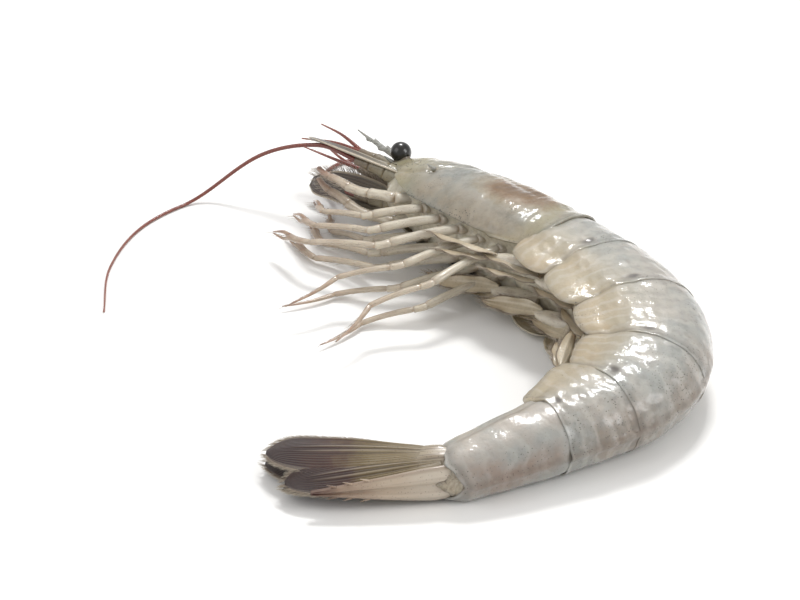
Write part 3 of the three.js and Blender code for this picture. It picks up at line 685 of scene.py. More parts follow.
hoods = {
    "rows": 62, "columns": 190, "thickness": 0.22,
    "flapFrom": 0.64,  # share of half the sheet where the side ends and the flap begins
    "tuck": 0.24, "overlap": 2.0, "under": 0.1,  # share of the sheet that lies under the one before
    "cornerShare": 0.6, "cornerPower": 2.4,  # how round the flaps are
    "drawnIn": (0.7, 26),  # how far the rear edge is drawn in at the side, over these degrees
    "swell": 0.05, "lip": 0.07, "keelWide": 7,
    "flapFolds": [(0.22, 0.25, 0.2), (-0.2, 0.62, 0.16)],  # height, then place and width as shares
    "pin": {"height": 0.85, "long": 0.8, "wide": 6},  # dark pin of the joint to the next plate
    # lean of the flap, height of the keel, how deep the front lies, and the share of the length it takes
    "plates": {
        "plate1": (0.6, 0, 0.85, 0.36), "plate2": (1.2, 0, 0.3, 0.16), "plate3": (1.4, 0.15, 0.3, 0.16),
        "plate4": (1.6, 0.45, 0.3, 0.16), "plate5": (2.0, 0.6, 0.3, 0.16),
    },
}


def makeHood(name):
    look = hoods
    lean, keel, sink, risen = look["plates"][name]
    start, length = arcStart(name), spine["arcs"][name][0]
    long = length + look["overlap"]
    share = np.linspace(0, 1, look["rows"])[:, None] * (1 + look["under"]) - look["under"]
    around = np.linspace(-1, 1, look["columns"])[None, :]
    off, way = np.abs(around), np.sign(around)
    angle = np.minimum(off / look["flapFrom"], 1) * 90
    row = np.clip((off - look["flapFrom"]) / (1 - look["flapFrom"]), 0, 1)
    at = start + share * long + lean * row ** 1.5 * (0.3 + 0.7 * share)
    at = at - look["drawnIn"][0] * bell(angle - 90, look["drawnIn"][1]) * rise(0.5, 1, share)
    power = look["cornerPower"]
    rounded = (1 - np.abs(2 * np.clip(share, 0, 1) - 1) ** power) ** (1 / power)
    depth = bodySize("flap", at) * (look["cornerShare"] + (1 - look["cornerShare"]) * rounded)
    grow = -sink * (1 - rise(-look["under"], risen, share)) + look["swell"] * rise(0.3, 0.95, share)
    grow = grow + look["lip"] * rise(0.92, 1, share) - look["lip"] * bell(share - 0.88, 0.05)
    grow = grow + keel * bell(angle, look["keelWide"])
    for height, middle, wide in look["flapFolds"]:
        grow = grow + height * bell(row - middle, wide)
    side, back = (bodySize(key, at) + grow for key in ("side", "back"))
    turn = np.radians(angle)
    above = np.where(row > 0, side * (1 - look["tuck"] * row ** 2), side * boxier(np.sin(turn))) * way
    dorsal = np.where(row > 0, -depth * row, back * boxier(np.cos(turn)))
    points = roughen(place(at, 0, dorsal, above), at, (0.14, 7, 11), (0.05, 2.4, 12))
    roundBody = angle + row * 70
    toRim = np.minimum((1 - share) * long, (1 - row) * depth + 0.35)
    pin = look["pin"]
    stain = pin["height"] * bell(at - start - length + 0.4, pin["long"])
    stain = stain * bell(angle - 88 + row * 30, pin["wide"])
    yolk = 0.4 * rise(75, 135, roundBody)
    return lattice(points, alongBody=at, roundBody=roundBody, toRim=toRim, stain=stain, yolk=yolk)


lastPlate = {"rows": 90, "columns": 120, "thickness": 0.4, "keel": 0.65, "sideRidge": 0.22}


def makeLastPlate():
    look = lastPlate
    start, length = arcStart("plate6"), spine["arcs"]["plate6"][0]
    angle = np.linspace(-180, 180, look["columns"], endpoint=False)[None, :]
    off = np.abs(angle)
    share = np.linspace(-0.08, 1, look["rows"])[:, None]
    rear = length + 0.4 + 0.9 * bell(off - 70, 18) - 0.8 * bell(off, 20)
    at = start + share * rear
    off = np.broadcast_to(off, at.shape)
    relief = -0.3 + 0.3 * rise(-0.08, 0.14, share) + look["keel"] * bell(off, 6) * rise(0.0, 0.4, share)
    ridge = bell(off - 96, 5) * rise(0.15, 0.4, share) * (1 - rise(0.75, 0.95, share))
    relief = relief + look["sideRidge"] * ridge - 0.2 * bell(off - 112, 7)
    relief = relief - 0.9 * rise(0.88, 1, share) ** 2 + 0.1 * bell(share - 0.985, 0.02)
    points = overSpine(at, angle, relief, (0.1, 6, 21))
    return lattice(points, closed=True, alongBody=at, roundBody=off, toRim=start + rear - at, stain=0)


body = {"rows": 320, "columns": 80, "inside": 0.95, "from": -2.6, "to": 121.0}


def makeBody():
    # the flesh inside the shell. It shows between the flaps, at the joints and under the head
    angle = np.linspace(-180, 180, body["columns"], endpoint=False)[None, :]
    share = np.linspace(0, 1, body["rows"])[:, None]
    at, off = np.broadcast_arrays(body["from"] + (body["to"] - body["from"]) * share, np.abs(angle))
    ends = np.minimum(rise(0, 0.035, share) * 0.6 + 0.4, 1 - 0.5 * rise(0.985, 1, share))
    relief = -body["inside"] - 3.6 * (1 - ends)
    for name in (*hoods["plates"], "plate6"):
        relief = relief + 0.55 * bell(at - arcStart(name) - 2.2, 1.0) * rise(125, 150, off)
    chest = rise(4, 8, at) * (1 - rise(35, 39, at)) * rise(138, 165, off)
    relief = relief - 1.3 * chest + 0.5 * chest * np.cos(2 * pi * (at - 3) / 5)
    return loft(overSpine(at, angle, relief, (0.16, 3.2, 31)))


hinge = {"rows": 50, "columns": 96, "from": -1.6, "length": 4.6, "ridges": 5, "ridgeHeight": 0.09}


def makeHinge():
    # the folded white skin between the last plate and the fan
    angle = np.linspace(-180, 180, hinge["columns"], endpoint=False)[None, :]
    share = np.linspace(0, 1, hinge["rows"])[:, None]
    at = arcStart("hinge") + hinge["from"] + share * hinge["length"]
    folds = np.sin(2 * pi * hinge["ridges"] * share + 1.6 * np.sin(np.radians(angle) * 3))
    relief = -0.8 - 2.8 * share ** 2 + hinge["ridgeHeight"] * folds
    return loft(overSpine(at, angle, relief, (0.08, 1.4, 41)))


makePiece("headShield", makeHeadShield(), headShell, headShield["thickness"])
for name in hoods["plates"]:
    makePiece(name, makeHood(name), flankShell, hoods["thickness"])
makePiece("plate6", makeLastPlate(), lastShell, lastPlate["thickness"])
makePiece("flesh", makeBody(), flesh)
makePiece("tailHinge", makeHinge(), jointSkin)
print("body made")

rostrum = {
    "length": 21, "rootAt": 13, "rise": 0.9, "rootDepth": 2.9, "tipDepth": 0.3, "tipLift": 1.8, "rows": 360,
    "teeth": 8, "toothHeight": 1.6, "toothLean": 0.9, "bareTip": 0.14,
    "lowerTeeth": 2, "lowerToothHeight": 0.5, "lowerToothWide": 0.7,
    # section: a thin blade with a rib along the middle of each side
    "thickness": 1.3, "levels": (0, 0.12, 0.3, 0.42, 0.55, 0.75, 0.92, 1.0),
    "widths": (0.1, 0.55, 0.75, 1.0, 0.7, 0.45, 0.28, 0.08),
}


def makeRostrum():
    look = rostrum
    fore = np.linspace(-look["rootAt"] - 1, look["length"], look["rows"])
    ahead = np.maximum(fore, 0) / look["length"]
    spike = bodySize("back", 0) + look["rise"] + look["tipLift"] * ahead ** 2
    carried = np.where(fore < 0, bodySize("back", -fore) + look["rise"] / 2, 0)
    top = np.maximum(spike, carried) - 1.1 * rise(-look["rootAt"] + 3, -look["rootAt"] - 1, fore)
    bottom = top - (look["rootDepth"] + (look["tipDepth"] - look["rootDepth"]) * ahead)
    toothed = (look["length"] + look["rootAt"]) * (1 - look["bareTip"])
    turn = np.clip((fore + look["rootAt"]) / toothed, 0, 1 - 1e-6) * look["teeth"]
    inTooth = turn % 1
    saw = np.where(inTooth < 0.78, (inTooth / 0.78) ** 1.5, np.clip(1 - (inTooth - 0.78) / 0.14, 0, 1))
    saw *= (fore > -look["rootAt"]) & (turn < look["teeth"] - 1e-3)
    top = top + look["toothHeight"] * saw * (1 - 0.6 * turn / look["teeth"])
    for k in range(look["lowerTeeth"]):
        toothAt = look["length"] * (0.8 - 0.2 * k)
        bottom -= look["lowerToothHeight"] * bell(fore - toothAt, look["lowerToothWide"])
    half = look["thickness"] / 2 * (1 - 0.8 * ahead ** 1.2)
    level, wide = np.array(look["levels"]), np.array(look["widths"])
    levels, wides = np.concatenate([level, level[::-1]]), np.concatenate([wide, -wide[::-1]])
    dorsal = bottom[:, None] + (top - bottom)[:, None] * levels
    above = half[:, None] * wides
    leaning = fore[:, None] + look["toothLean"] * saw[:, None] * rise(0.6, 1, levels)
    return loft(place(0.0, leaning, dorsal, above), alongBody=4, roundBody=30, toRim=5, stain=0)


thorns = {
    "antennal": {"at": -2.6, "angle": 93, "length": 2.4, "radius": 0.45},
    "hepatic": {"at": 9.4, "angle": 97, "length": 2.0, "radius": 0.5},
}


def makeThorns():
    parts = []
    shares = np.linspace(0, 1, 7)
    for thorn in thorns.values():
        for side in (1, -1):
            above, dorsal = skin(thorn["at"], side * thorn["angle"], -0.15)
            root = place(thorn["at"], 0, dorsal, above)
            way = -spineAt(thorn["at"])[1] + 0.25 * unit(root - spineAt(thorn["at"])[0])
            path = root + unit(way) * (shares * thorn["length"])[:, None]
            rings = ringsRound(path, thorn["radius"] * (1 - shares) ** 0.8 + 0.03, 10)
            parts.append(loft(rings, alongBody=6, roundBody=60, toRim=5, stain=0))
    return merged(parts)


def headPath(rows, side):
    return np.array([place(0.0, fore, dorsal, side * above) for fore, dorsal, above in rows])


eyes = {
    "radius": 2.0, "centre": (2.6, 1.6, 4.9),
    "stalk": [(-2.2, 0.6, 1.2), (0.4, 1.2, 2.6), (1.9, 1.5, 4.1)], "stalkRadius": (0.9, 1.0, 1.45),
}


def makeEyes():
    balls, stalks = [], []
    polar = np.linspace(0.02, pi * 0.78, 22)[:, None, None]
    turn = np.linspace(0, 2 * pi, 28, endpoint=False)[None, :, None]
    swell = eyes["radius"] * (1 + 0.06 * np.cos(turn) * np.sin(polar))
    for side in (1, -1):
        centre = headPath([eyes["centre"]], side)[0]
        path = headPath(eyes["stalk"], side)
        axis = unit(centre - path[-2])
        first = unit(np.cross(axis, up + (0.3, 0, 0)))
        second = np.cross(axis, first)
        outward = (first * np.cos(turn) * 1.04 + second * np.sin(turn) * 0.94) * np.sin(polar)
        balls.append(loft(centre + swell * (axis * np.cos(polar) + outward)))
        stalks.append(tube(path, eyes["stalkRadius"], 14, 16))
    return merged(balls), merged(stalks)


makePiece("rostrum", makeRostrum(), headShell)
makePiece("headThorns", makeThorns(), headShell)
eyeBalls, eyeStalks = makeEyes()
makePiece("eyes", eyeBalls, cornea)
makePiece("eyeStalks", eyeStalks, stemShell)


bladeForm = {  # widths are shares of half the blade
    "ridgeWide": 0.055, "veinWide": 0.06, "besideAt": 0.13, "besideShare": 0.9,
    "edgeThin": 0.82, "edgePower": 2.2, "tipThin": 0.45, "waves": 2.3,
}


def bladePart(root, along, across, look, flip=1):
    # a thin leaf with two faces. The margins are curves of half width by the share of the length
    form = bladeForm
    level = unit(across - along * (across @ along))
    face = np.cross(along, level) * flip
    share = np.linspace(0, 1, look["rows"])[:, None]
    wide = np.linspace(-1, 1, look["columns"])[None, :]
    outer, inner = (
        curveThrough(look["stops"], look[key], share) * look["width"] / 2 for key in ("outer", "inner"))
    sideways = np.where(wide > 0, wide * outer, wide * inner)
    lift = look["camber"] * (1 - wide ** 2) * np.sin(pi * share) ** 0.5 + look["curve"] * (share ** 2)
    lift = lift + look.get("wave", 0) * np.sin(2 * pi * share * form["waves"] + 1) * np.abs(wide) ** 3
    middle = root + along * (share * look["length"])[..., None]
    middle = middle + level * sideways[..., None] + face * lift[..., None]
    atEdge = np.abs(wide) ** form["edgePower"]
    thick = look["thickness"] / 2 * (1 - atEdge * form["edgeThin"]) * (1 - form["tipThin"] * share)
    fading = np.sin(pi * np.minimum(share * 1.05 + 0.05, 1))
    ridge, vein = 0, 0
    for spot in look["ridges"]:
        beside = bell(np.abs(wide - spot) - form["besideAt"], form["veinWide"])
        ridge = ridge + bell(wide - spot, form["ridgeWide"])
        vein = vein + (bell(wide - spot, form["veinWide"]) - form["besideShare"] * beside)
    ridge = ridge * look["ridge"] * fading
    vein = vein * fading
    ringed = 1 + look.get("rings", 0) * np.sin(2 * pi * share * look.get("ringCount", 0))
    top = middle + face * ((thick + ridge) * ringed)[..., None]
    bottom = middle - face * ((thick + ridge * 0.4) * ringed)[..., None]
    sheets = ((top, bottom), (wide, wide), (vein, vein))
    rings, paintAcross, paintVein = (np.concatenate([upper, lower[:, ::-1]], 1) for upper, lower in sheets)
    part = loft(pressFlat(rings, 0.35), alongBlade=share, acrossBlade=paintAcross, vein=paintVein)
    return part, middle


def fringe(middle, along, look, seed, edges=(1, -1)):
    # bristles along the margins, longest towards the tip and swept back along it
    roots, ways, lengths = [], [], []
    draw = np.random.default_rng(seed)
    inner = middle[:, middle.shape[1] // 2]
    for edge in edges:
        share = np.sort(draw.uniform(look["from"], 1, look["count"]))
        spot = share * (len(middle) - 1)
        low = np.minimum(spot.astype(int), len(middle) - 2)
        margin = middle[:, -1 if edge > 0 else 0]
        root = margin[low] + (margin[low + 1] - margin[low]) * (spot - low)[:, None]
        tangent = unit(margin[low + 1] - margin[low])
        outward = root - inner[low]
        out = unit(outward - tangent * np.einsum("ij,ij->i", outward, tangent)[:, None])
        roots.append(root - out * 0.12)
        ways.append(out * look["spread"] + tangent * 0.8 + along * 0.25)
        lengths.append(look["length"] * (0.55 + 0.45 * rise(look["from"], 0.8, share)))
    return hairs(*map(np.concatenate, (roots, ways, lengths)), look["radius"], seed + 1)


scales = {
    "root": (-2, -2.6, 3.6), "length": 21, "width": 6.6, "thickness": 0.7, "droop": 9, "roll": 52,
    "stops": (0, 0.12, 0.45, 0.75, 0.92, 1), "outer": (0.35, 0.62, 0.86, 0.9, 0.86, 0.5),
    "inner": (0.4, 0.8, 1.1, 0.95, 0.55, 0.12), "rows": 70, "columns": 28,
    "camber": 0.7, "curve": 0.8, "ridge": 0.3, "ridges": (0.9, 0.35),
    "hair": {"count": 210, "from": 0.12, "length": 2.4, "radius": 0.045, "spread": 1.0},
}


def forwardOfDown(at, angle):
    _, tailward, dorsal = spineAt(at)
    return -dorsal * cos(radians(angle)) - tailward * sin(radians(angle))


def makeScales():
    blades, fringes = [], []
    along = unit(forwardOfDown(0.0, 90 - scales["droop"]))
    roll = radians(scales["roll"])
    for side in (1, -1):
        across = spineAt(0.0)[2] * sin(roll) - up * side * cos(roll)
        part, middle = bladePart(headPath([scales["root"]], side)[0], along, -across, scales, flip=side)
        blades.append(part)
        fringes.append(fringe(middle, along, scales["hair"], 51 + side, edges=(-1,)))
    return merged(blades), merged(fringes)


limbForm = {
    "shares": (0, 0.04, 0.12, 0.3, 0.5, 0.7, 0.86, 0.95, 1.0),
    "swell": (0.56, 0.8, 0.9, 0.9, 0.88, 0.9, 0.96, 1.0, 0.76), "jointWide": 0.07, "lowest": 0.4,
}


def jointedLimb(joints, radii, sides=12, bow=0.05, flat=0.7, part=(0, 1)):
    # a tube for each segment, waisted in the middle and swollen at its ends
    shares, swell = np.array(limbForm["shares"]), np.array(limbForm["swell"])
    joint = np.maximum(bell(shares, limbForm["jointWide"]), bell(shares - 1, limbForm["jointWide"]))
    lengths = np.linalg.norm(np.diff(joints, axis=0), axis=1)
    whole, done, parts = lengths.sum(), 0, []
    for k, length in enumerate(lengths):
        a, b = joints[k], joints[k + 1]
        bend = unit(np.cross(b - a, up)) * length * bow * (1 if k % 2 else -1)
        points = a + (b - a) * (shares * 1.03 - 0.015)[:, None] + bend * np.sin(pi * shares)[:, None]
        points[:, 2] = np.maximum(points[:, 2], limbForm["lowest"])
        radius = (radii[k] + (radii[k + 1] - radii[k]) * shares) * swell
        along = part[0] + (part[1] - part[0]) * (done + shares * length) / whole
        parts.append(limbPart(points, radius, sides, flat, along, joint))
        done += length
    return merged(parts)


antennae = {
    # rows of fore, dorsal and above
    "stem": [(-3, -2, 2.4), (1.2, -3.1, 3.2), (4.8, -3.9, 3.5), (8, -4.6, 3.6)],
    "stemRadius": (2.1, 2.0, 1.5, 0.95),
    "shortStem": [(-3, 1, 1.2), (3, 0.8, 1.6), (8, 0.5, 1.9), (12, 0.4, 1.9)],
    "shortStemRadius": (1.7, 1.6, 1.25, 0.8),
    "shortWhips": [
        [(11, 0.4, 1.9), (18, 1.6, 2.6), (25, 2.8, 1.9)],
        [(11, 0.4, 1.9), (18, -0.4, 1.8), (25, -2.4, 0.8)],
    ],
    "shortRadius": (0.45, 0.14), "longRadius": (0.46, 0.17), "ringLength": 0.7,
    # rows of fore, dorsal and height over the floor
    "upper": [(7, -4.6, 12), (16, -6.5, 12.8), (26, -12, 9), (33, -22, 1), (33, -36, 0.25),
              (26, -50, 0.25), (15, -61, 0.25)],
    "lower": [(7, -4.6, 4.8), (15, -3.5, 2.8), (23, 1.5, 0.75), (24, 9, 0.4), (17, 15, 0.25),
              (6, 16.5, 0.25), (-8, 16, 0.25), (-22, 16.2, 0.25)],
}


def whip(points, radii, count):
    # a long row of short rings
    path = throughPoints(points, count)
    share = np.linspace(0, 1, count)
    radius = radii[0] + (radii[1] - radii[0]) * share
    path[:, 2] = np.maximum(path[:, 2], radius)
    length = np.linalg.norm(np.diff(path, axis=0), axis=1).sum()
    rings = np.sin(2 * pi * share * length / antennae["ringLength"])
    return limbPart(path, radius * (1 + 0.03 * rings), 8, 1.0, share, 0.5 + 0.5 * rings)


def makeAntennae():
    look = antennae
    stems, whips = [], []
    level = spineAt(0.0)[0][2]
    for side in (1, -1):
        for stem, flat in (("stem", 0.9), ("shortStem", 0.8)):
            stems.append(jointedLimb(headPath(look[stem], side), look[stem + "Radius"], 18, 0.02, flat))
        whips += [whip(headPath(rows, side), look["shortRadius"], 90) for rows in look["shortWhips"]]
        rows = look["upper"] if side > 0 else look["lower"]
        path = [place(0.0, fore, dorsal, height - level) for fore, dorsal, height in rows]
        whips.append(whip(path, look["longRadius"], 420))
    return merged(stems), merged(whips)


scaleBlades, scaleFringes = makeScales()
makePiece("antennaScales", scaleBlades, scaleShell)
makePiece("scaleFringes", scaleFringes, bristle)
antennaStems, feelerWhips = makeAntennae()
makePiece("antennaStems", antennaStems, stemShell)
makePiece("feelers", feelerWhips, feelerShell)
print("head made")

legs = {
    "rootDepth": 1.6, "rootInside": 4, "rootOut": 3, "fall": 2.3, "lowerLean": 9,
    "pairs": [
        {"at": 13, "lengths": (11, 9, 8), "lean": (50, 82, 118), "radius": 1.1, "claw": True},
        {"at": 18, "lengths": (13, 11, 9), "lean": (42, 74, 104), "radius": 1.1, "claw": True},
        {"at": 23, "lengths": (15, 13, 10), "lean": (34, 66, 90), "radius": 1.1, "claw": True},
        {"at": 28, "lengths": (14, 12, 10), "lean": (20, 38, 8), "radius": 0.95, "claw": False},
        {"at": 33, "lengths": (14, 12, 10), "lean": (6, 20, -14), "radius": 0.95, "claw": False},
    ],
    "taper": (1.45, 1.2, 1.0, 0.85, 0.68), "fingerLength": 4.0, "fingerGap": 0.55,
    "feeding": [(-8, -4.5, 2), (-6, -8.5, 2.6), (-1, -10.2, 2.3), (4, -10.5, 1.8), (9.5, -9.9, 1.5),
                (14, -8.5, 1.1)],
    "feedingRadius": (1.7, 1.5, 1.25, 1.15, 0.95, 0.55),
    "hairLength": 2.2, "hairRadius": 0.045, "hairs": 9, "feedingHairs": 26,
}


def legJoints(leg, side):
    at = float(leg["at"])
    floor = leg["radius"] - spineAt(at)[0][2]
    fore, above = 0.0, side * legs["rootOut"]
    dorsal = legs["rootDepth"] - bodySize("belly", at)
    joints = [place(at, 0, dorsal + legs["rootInside"], above * 0.6), place(at, 0, dorsal, above)]
    for length, lean in zip(leg["lengths"], leg["lean"]):
        turn = radians(lean + (0 if side > 0 else legs["lowerLean"]))
        fore += length * sin(turn)
        dorsal -= length * cos(turn)
        above = max(above - legs["fall"], floor)
        joints.append(place(at, fore, dorsal, above))
    return joints


def hairRow(a, b, start, end, count, lean):
    # roots along a segment and the way that the bristles point
    roots = a + (b - a) * np.linspace(start, end, count)[:, None]
    return roots, np.broadcast_to(unit(b - a) * lean[0] - lean[1], (count, 3))


def makeLegs():
    parts, rows = [], []
    for leg in legs["pairs"]:
        back = spineAt(float(leg["at"]))[2]
        thick = leg["radius"]
        radii = [thick * share for share in legs["taper"]]
        for side in (1, -1):
            joints = legJoints(leg, side)
            root, hip, knee, wrist, tip = joints
            if leg["claw"]:
                chain = [root, hip, knee * 0.82 + hip * 0.18, knee, wrist]
            else:
                chain = [root, hip, knee, wrist * 0.2 + knee * 0.8, wrist]
            parts.append(jointedLimb(np.array(chain), radii, 14, part=(0, 0.72)))
            onward = unit(tip - wrist)
            if leg["claw"]:
                palm = wrist + onward * (leg["lengths"][2] - legs["fingerLength"])
                hand = np.array([wrist, palm])
                parts.append(jointedLimb(hand, [thick * 0.68, thick * 0.78], 14, part=(0.72, 0.86)))
                for way in (1, -1):
                    bend = up * way * legs["fingerGap"]
                    path = [palm - onward * 0.3 + bend * 0.5, palm + onward * 1.6 + bend * 1.25,
                            tip + onward * 0.4 + bend * 0.25]
                    parts.append(tube(path, (thick * 0.42, 0.1), 16, 10, along=(0.86, 1)))
            else:
                parts.append(jointedLimb(np.array([wrist, tip]), [thick * 0.7, 0.14], 12, part=(0.72, 1)))
            for a, b in zip(joints[1:-1], joints[2:]):
                rows.append(hairRow(a, b, 0.1, 0.95, legs["hairs"], (0.8, back * 0.8)))
    for side in (1, -1):
        path = headPath(legs["feeding"], side)
        parts.append(jointedLimb(path, legs["feedingRadius"], 14))
        for a, b in zip(path[1:-1], path[2:]):
            rows.append(hairRow(a, b, 0, 1, legs["feedingHairs"], (0.7, spineAt(0.0)[2])))
    roots, ways = map(np.concatenate, zip(*rows))
    return merged(parts), hairs(roots, ways, legs["hairLength"], legs["hairRadius"], 61)


legParts, legHairs = makeLegs()
makePiece("walkingLegs", legParts, legShell)
makePiece("legBristles", legHairs, bristle)

swimmers = {
    "stemLength": 9, "stemRadius": (1.6, 1.95, 2.0, 1.75, 1.45, 0.7), "depth": 1.4, "out": 3.4,
    "legs": {  # lean in degrees and size of each pair
        "plate1": (62, 1), "plate2": (62, 1), "plate3": (56, 1), "plate4": (40, 1), "plate5": (34, 0.8),
    },
    "bow": 0.6, "drop": {1: -0.1, -1: -0.02}, "tilt": 0.55, "leafRoot": 1.2,
    "leaves": [{"length": 16, "extraLean": 13, "out": 0.5}, {"length": 12, "extraLean": -4, "out": -0.7}],
    "leaf": {
        "width": 3.8, "thickness": 0.5, "stops": (0, 0.1, 0.35, 0.7, 0.9, 1),
        "outer": (0.35, 0.65, 0.95, 0.8, 0.42, 0.06), "inner": (0.35, 0.65, 0.95, 0.75, 0.38, 0.06),
        "camber": 0.5, "curve": 1.1, "wave": 0.25, "ridge": 0.18, "ridges": (0.0,),
        "rings": 0.12, "ringCount": 15, "rows": 64, "columns": 16,
    },
    "hair": {"count": 90, "from": 0.25, "length": 2.0, "radius": 0.026, "spread": 0.45},
}


def makeSwimmers():
    stems, leaves, fringes = [], [], []
    for number, (name, (lean, size)) in enumerate(swimmers["legs"].items()):
        at = arcStart(name) + spine["arcs"][name][0] / 2
        radii = [radius * size for radius in swimmers["stemRadius"]]
        for side in (1, -1):
            root = place(at, 0, swimmers["depth"] - bodySize("belly", at), side * swimmers["out"])
            end = root + forwardOfDown(at, lean) * swimmers["stemLength"] * size
            bowed = (root + end) / 2 + spineAt(at)[1] * swimmers["bow"]
            stems.append(tube([root, bowed, end], radii, 30, 22, 0.72, (0, 0.4)))
            for order, leaf in enumerate(swimmers["leaves"]):
                turn = lean + leaf["extraLean"]
                along = unit(forwardOfDown(at, turn) + up * swimmers["drop"][side])
                across = forwardOfDown(at, turn - 90) + up * side * swimmers["tilt"]
                start = end - along * swimmers["leafRoot"] + up * side * leaf["out"]
                width = swimmers["leaf"]["width"] * size
                look = {**swimmers["leaf"], "length": leaf["length"] * size, "width": width}
                part, middle = bladePart(start, along, across, look, flip=side)
                leaves.append(part)
                fringes.append(fringe(middle, along, swimmers["hair"], 71 + number * 8 + order * 4 + side))
    return merged(stems), merged(leaves), merged(fringes)


swimmerStems, swimmerLeaves, swimmerFringes = makeSwimmers()
makePiece("swimmerStems", swimmerStems, legShell)
makePiece("swimmerLeaves", swimmerLeaves, swimmerShell)
makePiece("swimmerFringes", swimmerFringes, bristle)
print("legs made")

telson = {
    "length": 20, "width": 6.4, "thickness": 2.6, "dorsal": 1.6, "tip": 0.1, "taper": 1.15,
    "groove": 0.75, "grooveWide": 0.75, "ridge": 0.18, "ridgeAt": 1.5, "ridgeWide": 0.4,
    "rows": 110, "columns": 40, "thornsAt": (0.52, 0.66, 0.79), "thornLength": 1.7, "thornRadius": 0.24,
}


def makeTelson():
    # the pointed middle spike of the tail, with a groove along its back and three pairs of side thorns
    look = telson
    start = arcStart("fan")
    share = np.linspace(-0.12, 1, look["rows"])[:, None]
    turn = np.linspace(0, 2 * pi, look["columns"], endpoint=False)[None, :]
    narrow = 1 + (look["tip"] - 1) * np.maximum(share, 0) ** look["taper"]
    above = look["width"] / 2 * narrow * np.cos(turn)
    at = np.broadcast_to(start + share * look["length"], above.shape)
    height = look["thickness"] / 2 * (0.3 + 0.7 * narrow)
    onBack = np.sin(turn) > 0
    lift = height * np.sin(turn)
    lift = lift - onBack * look["groove"] * height * bell(above, look["grooveWide"] * narrow)
    lift = lift + onBack * look["ridge"] * bell(np.abs(above) - look["ridgeAt"] * narrow, look["ridgeWide"])
    rings = place(at, 0, look["dorsal"] + lift, above)
    parts = [loft(rings, alongBlade=np.clip(share, 0, 1), acrossBlade=np.cos(turn))]
    shares = np.linspace(0, 1, 6)
    for where in look["thornsAt"]:
        here = start + where * look["length"]
        wide = look["width"] / 2 * (1 + (look["tip"] - 1) * where ** look["taper"])
        for side in (1, -1):
            root = place(here, 0, look["dorsal"] + 0.1, side * (wide - 0.15))
            way = unit(spineAt(here)[1] + up * side * 0.35)
            path = root + way * (shares * look["thornLength"])[:, None]
            rings = ringsRound(path, look["thornRadius"] * (1 - shares) + 0.03, 8)
            parts.append(loft(rings, alongBlade=where, acrossBlade=0))
    return merged(parts)


fan = {
    "rootBack": 2,
    "shared": {
        "thickness": 0.9, "camber": 0.5, "curve": 0.0, "ridge": 0.28, "wave": 0.12,
        "rows": 110, "columns": 48, "stops": (0, 0.15, 0.4, 0.65, 0.85, 0.95, 1),
    },
    # rootOut and slope are given for the upper side and the one on the floor
    "blades": [
        {  # inner blade
            "length": 26, "width": 8.0, "spread": 6, "tilt": 0.22, "ridges": (0.05, -0.25),
            "rootDorsal": -0.4, "rootOut": {1: 2.5, -1: -2.1}, "slope": {1: -0.13, -1: 0.01},
            "outer": (0.3, 0.5, 0.85, 1.0, 0.82, 0.5, 0.12),
            "inner": (0.3, 0.5, 0.85, 0.98, 0.75, 0.45, 0.12),
        },
        {  # outer blade: its outer edge is straight and thick
            "length": 29, "width": 9.6, "spread": 19, "tilt": 0.02, "ridges": (0.86, 0.2, -0.1),
            "rootDorsal": -2.2, "rootOut": {1: 3, -1: -2.6}, "slope": {1: -0.11, -1: 0.01},
            "outer": (0.3, 0.5, 0.72, 0.9, 0.86, 0.55, 0.12),
            "inner": (0.3, 0.5, 0.9, 1.05, 0.85, 0.5, 0.12),
        },
    ],
    "hair": {"count": 520, "from": 0.3, "length": 1.5, "radius": 0.035, "spread": 0.7},
    "scute": {  # covers the roots of the two blades
        "at": -4.4, "dorsal": -1.3, "rootOut": {1: 2.6, -1: -2.3}, "slope": {1: -0.05, -1: 0.02},
        "length": 8.4, "width": 5.4, "thickness": 1.5, "lean": 0.16, "tilt": 0.12,
        "stops": (0, 0.25, 0.6, 0.85, 1), "outer": (0.75, 0.98, 0.95, 0.62, 0.06),
        "inner": (0.75, 0.95, 1.0, 0.8, 0.1), "camber": 0.55, "curve": -0.5, "ridge": 0.22,
        "ridges": (0.35, -0.45), "rows": 50, "columns": 30,
    },
}


def makeFan():
    blades, fringes, scutes = [], [], []
    start = arcStart("fan")
    _, tailward, dorsal = spineAt(start + telson["length"] * 0.4)
    scute = fan["scute"]
    for side in (1, -1):
        for number, own in enumerate(fan["blades"]):
            look = {**fan["shared"], **own}
            spread = radians(look["spread"])
            along = unit(tailward * cos(spread) - dorsal * sin(spread) + up * look["slope"][side])
            root = place(start - fan["rootBack"], 0, look["rootDorsal"], look["rootOut"][side])
            part, middle = bladePart(root, along, -dorsal + up * side * look["tilt"], look, flip=-side)
            blades.append(part)
            fringes.append(fringe(middle, along, fan["hair"], 91 + number * 4 + side))
        root = place(start + scute["at"], 0, scute["dorsal"], scute["rootOut"][side])
        along = unit(tailward - dorsal * scute["lean"] + up * scute["slope"][side])
        scutes.append(bladePart(root, along, -dorsal + up * side * scute["tilt"], scute, flip=-side)[0])
    return merged(blades), merged(fringes), merged(scutes)


makePiece("telson", makeTelson(), telsonShell)
fanBlades, fanFringes, fanScutes = makeFan()
makePiece("fanBlades", fanBlades, fanShell)
makePiece("fanFringes", fanFringes, bristle)
makePiece("fanScutes", fanScutes, scuteShell)
print("tail made")


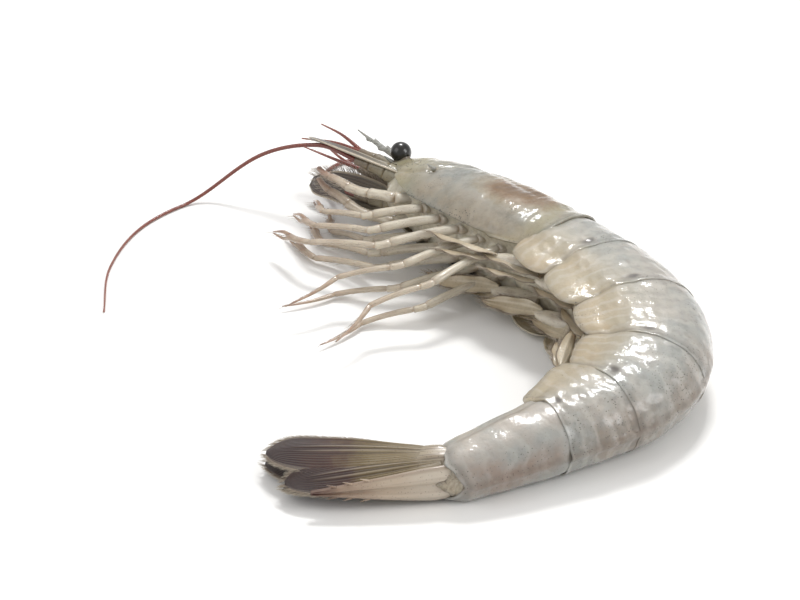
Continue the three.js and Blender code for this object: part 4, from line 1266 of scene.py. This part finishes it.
def makeFloor(half=2.0):
    # plain white lacquered board: smooth, matt and faintly uneven
    mesh = bpy.data.meshes.new("floor")
    corners = [(-half, -half, 0), (half, -half, 0), (half, half, 0), (-half, half, 0)]
    mesh.from_pydata(corners, [], [(0, 1, 2, 3)])
    material, add, here = newMaterial("whiteLacquer")
    cloud = add("TexNoise", {"Scale": perMetre(60), "Detail": 2}, {"Vector": here})
    colour = add("ValToRGB", {"stops": [(0.3, "#f4f3f1"), (0.7, "#f8f7f5")]}, {"Fac": cloud})
    surface = add("BsdfPrincipled", {"Roughness": 0.55}, {"Base Color": colour})
    add("OutputMaterial", links={"Surface": surface})
    mesh.materials.append(material)
    floor = bpy.data.objects.new("floor", mesh)
    bpy.context.scene.collection.objects.link(floor)


lamps = {
    "window": {"at": (0.1, 0.6, 0.85), "size": (0.26, 0.16), "watts": 6},
    "sheet": {"at": (-0.75, -0.35, 0.8), "size": (0.8, 0.8), "watts": 3},
    "edge": {"at": (0.8, -0.25, 0.5), "size": (0.35, 0.5), "watts": 3},
}
room = {"colour": "#ffffff", "strength": 0.6}
view = {"elevation": 31, "distance": 0.62, "lens": 158, "aim": (0.0, -0.002, 0.006)}


def makeLight():
    for name, lamp in lamps.items():
        data = bpy.data.lights.new(name, "AREA")
        data.shape = "RECTANGLE"
        data.size, data.size_y = lamp["size"]
        data.energy = lamp["watts"]
        light = bpy.data.objects.new(name, data)
        light.location = lamp["at"]
        light.rotation_euler = (-Vector(lamp["at"])).to_track_quat("-Z", "Y").to_euler()
        bpy.context.scene.collection.objects.link(light)
    world = bpy.data.worlds.new("softRoom")
    world.use_nodes = True
    background = world.node_tree.nodes["Background"].inputs
    background["Color"].default_value = linear(room["colour"])
    background["Strength"].default_value = room["strength"]
    bpy.context.scene.world = world
    bpy.context.scene.view_settings.view_transform = "Standard"


def makeCamera():
    data = bpy.data.cameras.new("camera")
    data.lens = view["lens"]
    data.clip_start = 0.01
    camera = bpy.data.objects.new("camera", data)
    tilt = radians(view["elevation"])
    aim = Vector(view["aim"])
    camera.location = aim + Vector((0, -cos(tilt), sin(tilt))) * view["distance"]
    camera.rotation_euler = (aim - camera.location).to_track_quat("-Z", "Y").to_euler()
    bpy.context.scene.collection.objects.link(camera)
    bpy.context.scene.camera = camera


makeFloor()
makeLight()
makeCamera()
print("stage ready")
